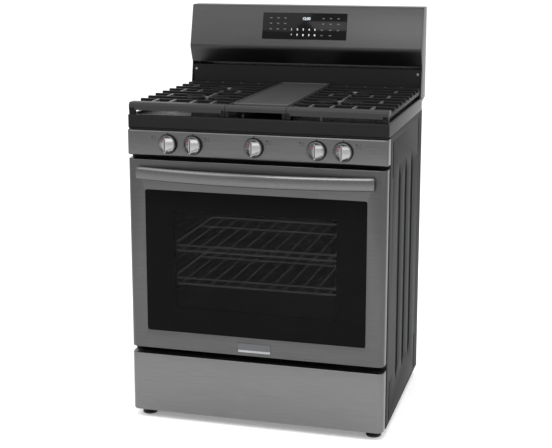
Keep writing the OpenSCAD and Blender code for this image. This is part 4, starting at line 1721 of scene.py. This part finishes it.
@dataclass
class Grates:
    """Cast grates with a wide rounded front member, and the griddle between them."""

    bar: float = 10.0
    bar_height: float = 14.0
    rail: float = 12.0
    nose_back: float = 55.0
    nose_radius: float = 9.0
    pitch: float = 61.0
    hub_radius: float = 12.0
    clearing: float = 34.0
    hubs: tuple[float, float] = (208.0, 427.0)
    hub_x: float = 201.0
    rounding: float = 2.0

    def nose(
        self, name: str, x0: float, x1: float, back: float, low: float, top: float, front: float
    ) -> Piece:
        """Casts a front member: flat top, round nose and skirt.

        Args:
            name: Piece's name.
            x0: Its left end.
            x1: Its right end.
            back: Its back edge.
            low: Bottom of its skirt.
            top: Its top.
            front: Its front face.

        Returns:
            The member.
        """
        under = top - self.bar_height
        outline = [
            (back, top), (back, under), (front + self.rail, under), (front + self.rail, low), (front, low),
        ]
        for angle in range(180, 89, -10):
            a = math.radians(angle)
            outline.append((
                front + self.nose_radius * (1 + math.cos(a)), top + self.nose_radius * (math.sin(a) - 1)
            ))
        member = Piece.prism(name, [at(x0, y, z) for y, z in outline], ((x1 - x0) * MM, 0, 0))
        ends = (at(x0, 0, 0).x, at(x1, 0, 0).x)
        rear = at(0, back, 0).y
        return member.round_edges(
            1.6 * MM, 3,
            lambda m, d: min(abs(m.x - ends[0]), abs(m.x - ends[1])) < 0.0001 or on_plane(m, 1, rear),
        )

    def piece(self, x0: float, y0: float, z0: float, x1: float, y1: float, z1: float) -> Piece:
        """Casts a bar with rounded edges between two corners in millimetres."""
        return soft_block("bar", at(x0, y0, z0), at(x1, y1, z1), self.rounding * MM, 3)

    def side(self) -> None:
        """Casts the right grate and mirrors it for the left."""
        box = Extent("grate_right")
        top, inner, outer = box.z1 / MM, box.x0 / MM, box.x1 / MM
        front, back = depth_of(box.y0), depth_of(box.y1)
        low = top - self.bar_height
        bars = [self.nose_back + self.pitch * (i + 1) for i in range(8)]
        grate = self.nose("grate_right_casting", inner, outer, self.nose_back, low - 8, top, front)
        parts = [
            self.piece(inner, front + 20, low - 6, inner + self.rail, back, top - 5),
            self.piece(outer - self.rail, front + 20, low - 8, outer - 1, back - 1, top - 9),
            self.piece(inner, back - self.rail, low - 8, outer, back, top),
        ]
        for y in bars:
            near = min(abs(y - hub) for hub in self.hubs)
            if near < self.clearing:
                gap = math.sqrt(self.clearing**2 - near**2)
                spans = [(inner + 1, self.hub_x - gap), (self.hub_x + gap, outer)]
            else:
                spans = [(inner + 1, outer)]
            parts += [
                self.piece(a, y - self.bar / 2, low, b, y + self.bar / 2, top) for a, b in spans
            ]
        links = [(320, bars[1], bars[2]), (320, bars[5], bars[6])]
        links += [(x, bars[3], bars[4]) for x in (145, 268, 320)]
        links += [(x, self.nose_back - 3, bars[0]) for x in (145, 205, 268, 320)]
        links += [(x, bars[7], back - 2) for x in (145, 205, 268, 320)]
        # Painted highlights: the links, the spine between the hubs and the hubs take a lighter colour.
        highlighted = [self.piece(x - 4, a, top - 12, x + 4, b, top - 0.2) for x, a, b in links]
        highlighted.append(self.piece(self.hub_x - 3.5, self.hubs[0], low + 2, self.hub_x + 3.5, bars[4], top - 1))
        highlighted += [self.hub(hub, low, top) for hub in self.hubs]
        for hub in self.hubs:
            for angle in (0, 45, 135, 180, 225, 315):
                arm = self.piece(self.hub_x + 6, hub - 3.5, top - 11, self.hub_x + 66, hub + 3.5, top - 1)
                pivot = at(self.hub_x, hub, 0)
                turn = Matrix.Translation(pivot) @ Matrix.Rotation(math.radians(angle), 4, "Z")
                arm.obj.data.transform(turn @ Matrix.Translation(-pivot))
                parts.append(arm)
        for y in (front + 6, back - 7):
            parts.append(self.piece(inner, y - 6, low - 20, inner + 12, y + 6, low + 1))
            parts.append(self.piece(outer - 19, y - 6, low - 20, outer - 0.5, y + 6, low + 1))
        # Painted sheen: the front member is coloured lighter than the rest of the casting.
        grate.paint(NOSE_IRON_PAINTED_SHEEN)
        for part in parts:
            part.paint(CAST_IRON)
        # Painted highlight on the links, the spine and the hubs.
        for part in highlighted:
            part.paint(HIGHLIGHT_IRON)
        grate.join(*parts, *highlighted)
        other = grate.mirrored("grate_left_casting")
        grate.done("right_grate", "cast_iron", ["grate_right"])
        other.done("left_grate", "cast_iron", ["grate_left"])

    def hub(self, y: float, low: float, top: float) -> Piece:
        """Turns the hub over a burner.

        Args:
            y: Its place behind the door's face.
            low: Bottom of the bars.
            top: Top of the bars.

        Returns:
            The hub.
        """
        r = self.hub_radius * MM
        return Piece.turned(
            "hub",
            [(0, (low + 3) * MM), (r, (low + 3) * MM), (r, (top - 2.5) * MM),
             (r - 0.0015, (top - 1) * MM), (0, (top - 1) * MM)],
            at(self.hub_x, y, 0), steps=32,
        )

    def middle(self) -> None:
        """Casts the middle grate under the griddle."""
        box, plate = Extent("grate_centre"), Extent("griddle")
        half, top = box.x1 / MM, box.z1 / MM
        front, back = depth_of(box.y0), depth_of(box.y1)
        seat = plate.z0 / MM
        low = seat - 16
        grate = self.nose("grate_middle_casting", -half, half, self.nose_back - 12, low + 6, top, front)
        parts = [
            self.piece(-half, front + 20, low, -half + self.rail, back, top),
            self.piece(half - self.rail, front + 20, low, half, back, seat - 0.2),
        ]
        parts += [
            self.piece(-half + 1, y, low + 2, half - 1, y + self.rail, seat - 0.3)
            for y in (130, 230, 355, 460, back - self.rail)
        ]
        parts += [
            self.piece(s * (half - 6) - 6, y - 6, 912.2, s * (half - 6) + 6, y + 6, low + 8)
            for s in BOTH
            for y in (front + 6, back - 7)
        ]
        # Painted sheen: the front member is coloured lighter than the rest of the casting.
        grate.paint(NOSE_IRON_PAINTED_SHEEN)
        for part in parts:
            part.paint(CAST_IRON)
        grate.join(*parts).done("middle_grate", "cast_iron", ["grate_centre"])

    def griddle(self) -> None:
        """Casts the griddle plate with its raised edge."""
        box = Extent("griddle")
        plate = Piece.block("griddle_casting", box.low, box.high)
        plate.round_edges(6 * MM, 4, lambda m, d: abs(d.z) > 0.9)
        plate.round_edges(2.4 * MM, 4, lambda m, d: on_plane(m, 2, box.z1))
        well = Piece.block(
            "well",
            (box.x0 + 0.006, box.y0 + 0.008, box.z1 - 0.003),
            (box.x1 - 0.006, box.y1 - 0.010, box.z1 + 0.008),
        )
        well.round_edges(5 * MM, 4, lambda m, d: abs(d.z) > 0.9)
        well.round_edges(1.5 * MM, 3, lambda m, d: on_plane(m, 2, box.z1 - 0.003))
        # Painted reflection: the griddle is coloured lighter than the grates.
        plate.cut(well).paint(GRIDDLE_IRON_PAINTED_REFLECTION).done("griddle_plate", "cast_iron", ["griddle"])

    def build(self) -> None:
        """Casts the three grates and the griddle."""
        self.side()
        self.middle()
        self.griddle()


# ------------------------------------------------------------------ backguard


@dataclass
class Backguard:
    """Console with its sloping face, touch panel, end caps and lower panel."""

    sheet: float = 1.8
    top_front: tuple[float, float] = (601.0, 1194.0)
    nose: tuple[float, float] = (567.0, 1060.0)
    chin: tuple[float, float] = (582.0, 1023.0)
    lip: tuple[float, float] = (589.0, 1010.0)
    glass_half: float = 138.0

    def console(self) -> None:
        """Folds the console's sheet and eases its bends."""
        box = Extent("backguard_console")
        t = self.sheet
        back = depth_of(box.y1)
        outline = [
            (back, box.z1 / MM), self.top_front, self.nose, self.chin, self.lip,
            (self.lip[0] + t, self.lip[1]), (self.chin[0] + t, self.chin[1] + 0.3),
            (self.nose[0] + 1.06 * t, self.nose[1]),
            (self.top_front[0] + 0.8 * t, self.top_front[1] - t), (back, box.z1 / MM - t),
        ]
        console = Piece.prism(
            "backguard_console_steel", [Vector((box.x0, at(0, y, 0).y, z * MM)) for y, z in outline],
            (box.x1 - box.x0, 0, 0),
        )

        def near(place: tuple[float, float], reach: float) -> Test:
            """Test for the long edges near a bend of the outline."""
            spot = at(0, *place)
            return lambda m, d: abs(d.x) > 0.9 and math.hypot(m.y - spot.y, m.z - spot.z) < reach * MM

        console.round_edges(9 * MM, 6, near(self.nose, 3))
        console.round_edges(4 * MM, 5, near(self.top_front, 3))
        console.round_edges(5 * MM, 4, near(self.chin, 3))
        # Painted shade: the console's steel is coloured darker than the door.
        console.paint(CONSOLE_STEEL_PAINTED_SHADE).done("cabinet", "black_stainless", ["backguard_console"])

    def end_caps(self) -> None:
        """Presses the right end cap and mirrors it."""
        box = Extent("backguard_end_caps")
        high, back = box.z1 / MM, depth_of(box.y1)
        outline = [
            self.top_front, self.nose, self.chin, self.lip, (588, 1000), (575, 932), (575, 912),
            (600.5, 912), (600.5, 903), (612, 900), (back, 908), (back, high),
        ]
        cap = Piece.prism(
            "backguard_end_cap_right",
            [Vector((HALF_W * MM - 0.0012, at(0, y, 0).y, z * MM)) for y, z in outline], (0.0012, 0, 0),
        )
        cap.round_edges(
            6 * MM, 5, lambda m, d: abs(d.x) > 0.9 and m.z > at(0, 0, 1050).z
        )
        cap.round_edges(0.5 * MM, 2, lambda m, d: on_plane(m, 0, HALF_W * MM))
        # Painted shade: the end caps take the console's darker steel.
        cap.paint(CONSOLE_STEEL_PAINTED_SHADE)
        other = cap.mirrored("backguard_end_cap_left")
        cap.done("cabinet", "black_stainless", ["backguard_end_caps"])
        other.done("cabinet", "black_stainless", ["backguard_end_caps"])

    def lower_panel(self) -> None:
        """Folds the dark panel under the vent and fixes it with screws."""
        box = Extent("backguard_lower_panel")
        back = depth_of(box.y1)
        outline = [(589, 912), (589, 1000), (back, 1000), (back, 998.8), (590.2, 998.8), (590.2, 912)]
        panel = Piece.prism(
            "backguard_lower_sheet",
            [Vector((box.x0, at(0, y, 0).y, z * MM)) for y, z in outline],
            (box.x1 - box.x0, 0, 0),
        )
        spot = at(0, 589, 1000)
        panel.round_edges(
            1.0 * MM, 3, lambda m, d: abs(d.x) > 0.9 and math.hypot(m.y - spot.y, m.z - spot.z) < 0.0005
        )
        panel.paint(COOKTOP_ENAMEL).done("cabinet", "dark_enamel", ["backguard_lower_panel"])
        heads = [screw_head("head", at(x, 589, 985), (0, -1, 0), 0.0042) for x in (-366, 366)]
        heads[0].obj.name = "backguard_screws"
        heads[0].join(*heads[1:]).paint(SCREW_STEEL).done("cabinet", "zinc_steel")

    def touch_panel(self) -> None:
        """Sets the touch glass on the slope with its printed marks."""
        run = Vector((0, self.top_front[0] - self.nose[0], self.top_front[1] - self.nose[1])).normalized()
        out = Vector((0, -run.z, run.y))
        across = Vector((1, 0, 0))
        foot, head = self.on_slope(1088.5), self.on_slope(1171.0)
        start = Vector((-self.glass_half * MM, 0, 0))
        corners = [foot, head, head + out * 0.002, foot + out * 0.002]
        glass = Piece.prism(
            "touch_panel_glass", [c + start for c in corners], (2 * self.glass_half * MM, 0, 0)
        )
        glass.round_edges(0.6 * MM, 2)
        glass.paint(PANEL_GLASS).done("cabinet", "black_glass", ["touch_glass"])
        middle = (foot + head) / 2 + out * 0.002
        width, height = 2 * self.glass_half * MM, (head - foot).length
        log.info("touch panel faces %s, %d mm high", tuple(round(v, 2) for v in out), round(height / MM))

        def place(u: float, v: float) -> Matrix:
            """Matrix that lays type on the glass, at shares of its width and height from the upper left."""
            origin = middle + across * (u - 0.5) * width + run * (0.5 - v) * height
            matrix = Matrix((across, run, out)).transposed().to_4x4()
            return Matrix.Translation(origin) @ matrix

        keys = []
        for v, us in (
            (0.20, (0.10, 0.185, 0.27, 0.722, 0.81, 0.90)), (0.41, (0.10, 0.185, 0.27, 0.722, 0.81, 0.90)),
            (0.62, (0.10, 0.185, 0.27)), (0.64, (0.71, 0.81, 0.90)), (0.84, (0.71, 0.81)),
        ):
            for u in us:
                for row, length in ((0.9, 8.5), (-0.9, 6.5)):
                    dash = Piece.block(
                        "dash",
                        (-length / 2 * MM, (row - 0.45) * MM, 0.0),
                        (length / 2 * MM, (row + 0.45) * MM, 0.1 * MM),
                    )
                    dash.obj.data.transform(place(u, v))
                    keys.append(dash)
        keys[0].obj.name = "touch_panel_icons"
        keys[0].join(*keys[1:]).paint(ICON_PRINT).done("cabinet", "black_glass")
        numerals = [
            Piece.lettering("numeral", numeral, 8.4 * MM, place(u, v))
            for v, row in ((0.63, "12345"), (0.84, "67890"))
            for u, numeral in zip((0.35, 0.42, 0.49, 0.56, 0.628), row)
        ]
        numerals[0].obj.name = "touch_panel_numerals"
        numerals[0].join(*numerals[1:]).paint(KEY_PRINT).done("cabinet", "black_glass")
        clock = Piece.lettering("touch_panel_clock", "12:00", 12 * MM, place(0.52, 0.22))
        clock.paint(DISPLAY_GLOW).done("cabinet", "black_glass")

    def on_slope(self, z: float) -> Vector:
        """Point of the sloping face at a height, in the middle of the range."""
        share = (z - self.nose[1]) / (self.top_front[1] - self.nose[1])
        return at(0, self.nose[0] + share * (self.top_front[0] - self.nose[0]), z)

    def build(self) -> None:
        """Builds the whole backguard."""
        self.console()
        self.end_caps()
        self.lower_panel()
        self.touch_panel()


# ------------------------------------------------------------------ oven


@dataclass
class OvenRacks:
    """Two chromed wire racks."""

    frame_radius: float = 3.0
    wire_radius: float = 2.0
    cross_radius: float = 2.4
    wires: int = 12

    def rack(self) -> None:
        """Bends and welds the lower rack, and copies it to the upper place."""
        box, upper = Extent("rack_lower"), Extent("rack_upper")
        r = self.frame_radius * MM
        z = box.middle.z
        left, right, near, far = box.x0 + r, box.x1 - r, box.y0 + r, box.y1 - r
        loop = [
            (0, near, z), (left, near, z), (left, far, z), (right, far, z), (right, near, z), (0, near, z),
        ]
        rack = Piece.wire("rack_lower_wires", loop, r, 12 * MM, 3)
        step = (right - left) / (self.wires + 1)
        rods = [
            Piece.rod("wire", (x, near, z), (x, far, z), self.wire_radius * MM, 12)
            for x in (left + step * (i + 1) for i in range(self.wires))
        ]
        rods += [
            Piece.rod("cross", (left, y, z), (right, y, z), self.cross_radius * MM, 12)
            for y in (near + 0.060, far - 0.130)
        ]
        # Painted light: the rack wires glow faintly.
        rack.join(*rods).paint(CHROME_WIRE_PAINTED_GLOW)
        other = rack.copy("rack_upper_wires", (0, 0, upper.middle.z - z))
        rack.done("lower_rack", "chrome_wire", ["rack_lower"])
        other.done("upper_rack", "chrome_wire", ["rack_upper"])


CARRIED_OVER: dict[str, tuple[Finish, str]] = {
    "base_pan": (GALVANISED, "galvanised"),
    "front_frame": (SIDE_PAINT, "dark_enamel"),
    "oven_side_walls": (OVEN_ENAMEL, "gloss_enamel"),
    "oven_roof": (OVEN_ENAMEL, "gloss_enamel"),
    "oven_floor": (OVEN_ENAMEL, "gloss_enamel"),
    "oven_back": (OVEN_ENAMEL, "gloss_enamel"),
    "rack_guides": (ZINC_PLATE, "chrome_wire"),
    "oven_insulation": (FIBRE_BLANKET, "fibre_blanket"),
    "oven_burners": (ZINC_PLATE, "zinc_steel"),
    "oven_lamp": (LAMP_GLASS, "clear_glass"),
    # Painted light: the fan cover glows faintly.
    "fan_cover": (FAN_PAINTED_GLOW, "gloss_enamel"),
    "fan_motor": (GALVANISED, "galvanised"),
    "fan_blade": (ZINC_PLATE, "zinc_steel"),
    "door_gasket": (BRAIDED_SEAL, "gasket_rubber"),
    "hinge_arms": (ZINC_PLATE, "zinc_steel"),
    "drawer_rails": (ZINC_PLATE, "zinc_steel"),
    "gas_manifold": (ZINC_PLATE, "zinc_steel"),
    "valve_bodies": (TURNED_BRASS, "brass"),
    "burner_tubes": (BURNER_ALUMINIUM, "burner_aluminium"),
    "pressure_regulator": (ZINC_PLATE, "zinc_steel"),
    "door_insulation": (FIBRE_BLANKET, "fibre_blanket"),
    "door_glass_inner": (INNER_GLASS, "clear_glass"),
    "door_liner": (OVEN_ENAMEL, "gloss_enamel"),
    "drawer_tray": (GALVANISED, "galvanised"),
}
CARRIED_OVER.update({f"valve_stem_{i}": (TURNED_BRASS, "brass") for i in range(1, 6)})


def dress_frame() -> None:
    """Gives the CAD nodes that are shown as they are their finishes."""
    Piece.fresh()
    for name, (finish, slot) in CARRIED_OVER.items():
        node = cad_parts[name]
        node.data.materials.clear()
        node.data.materials.append(finish.material())
        log.info("%s: carried over with %s", name, finish.name)


# ------------------------------------------------------------------ studio


@dataclass
class Studio:
    """Pale floor, soft lights and the camera."""

    floor_colour: str = "#fbfbfb"
    world_strength: float = 1.0
    camera_place: tuple[float, float, float] = (0.94767, -3.53426, 1.40987)
    yaw: float = 0.26644
    pitch: float = 0.19584
    lens: float = 79.95
    rise: float = 0.07971

    def floor(self) -> None:
        """Lays a wide pale floor."""
        Piece.fresh()
        bpy.ops.mesh.primitive_plane_add(size=60.0, location=(0, 0, -0.0005))
        floor = bpy.context.object
        floor.name = "studio_floor"
        floor.data.materials.append(Finish(
            "studio_floor_painted", self.floor_colour, self.floor_colour, (0.85, 0.95),
            grain_mm=4.0, bump=0.02, blotch=0.0, glow=0.19,
        ).material())

    def lights(self) -> None:
        """Sets an even pale surround and four soft lights."""
        scene = bpy.context.scene
        world = bpy.data.worlds.new("studio")
        world.use_nodes = True
        world.node_tree.nodes.clear()
        sky = add_node(
            world.node_tree,
            "ShaderNodeBackground",
            {"Color": linear("#ffffff"), "Strength": self.world_strength},
        )
        add_node(world.node_tree, "ShaderNodeOutputWorld", links={"Surface": sky.outputs[0]})
        scene.world = world
        scene.view_settings.view_transform = "Standard"
        for name, place, size, power in (
            ("key", (-2.2, -2.6, 3.2), 2.6, 44.0),
            ("fill", (3.0, -1.6, 2.4), 2.2, 24.0),
            ("top", (0.0, 0.4, 3.6), 3.0, 34.0),
            ("near_floor", (0.3, -1.5, 1.9), 1.2, 22.0),
        ):
            bpy.ops.object.light_add(type="AREA", location=place)
            lamp = bpy.context.object
            lamp.name = f"light_{name}"
            lamp.data.size = size
            lamp.data.energy = power
            goal = (place[0], place[1], 0.0) if name == "near_floor" else (0.0, 0.0, 0.6)
            aim = Vector(goal) - Vector(place)
            lamp.rotation_euler = aim.to_track_quat("-Z", "Y").to_euler()

    def camera(self) -> None:
        """Stands the camera a little to the right of the range, over its top."""
        bpy.ops.object.camera_add(
            location=self.camera_place, rotation=(math.pi / 2 - self.pitch, 0.0, self.yaw)
        )
        camera = bpy.context.object
        camera.data.sensor_width = 36.0
        camera.data.lens = self.lens
        camera.data.shift_y = -self.rise
        bpy.context.scene.camera = camera

    def build(self) -> None:
        """Sets up the whole studio."""
        self.floor()
        self.lights()
        self.camera()


def main() -> None:
    """Builds every sub-assembly in order."""
    logging.basicConfig(level=logging.INFO, format="%(name)s: %(message)s")
    cabinet = Cabinet()
    cabinet.side_panels()
    cabinet.rear_sheet()
    cabinet.feet()
    OvenDoor().build()
    StorageDrawer().build()
    Controls().build()
    Cooktop().build()
    Grates().build()
    Backguard().build()
    OvenRacks().rack()
    dress_frame()
    Studio().build()


if __name__ == "__main__":
    main()
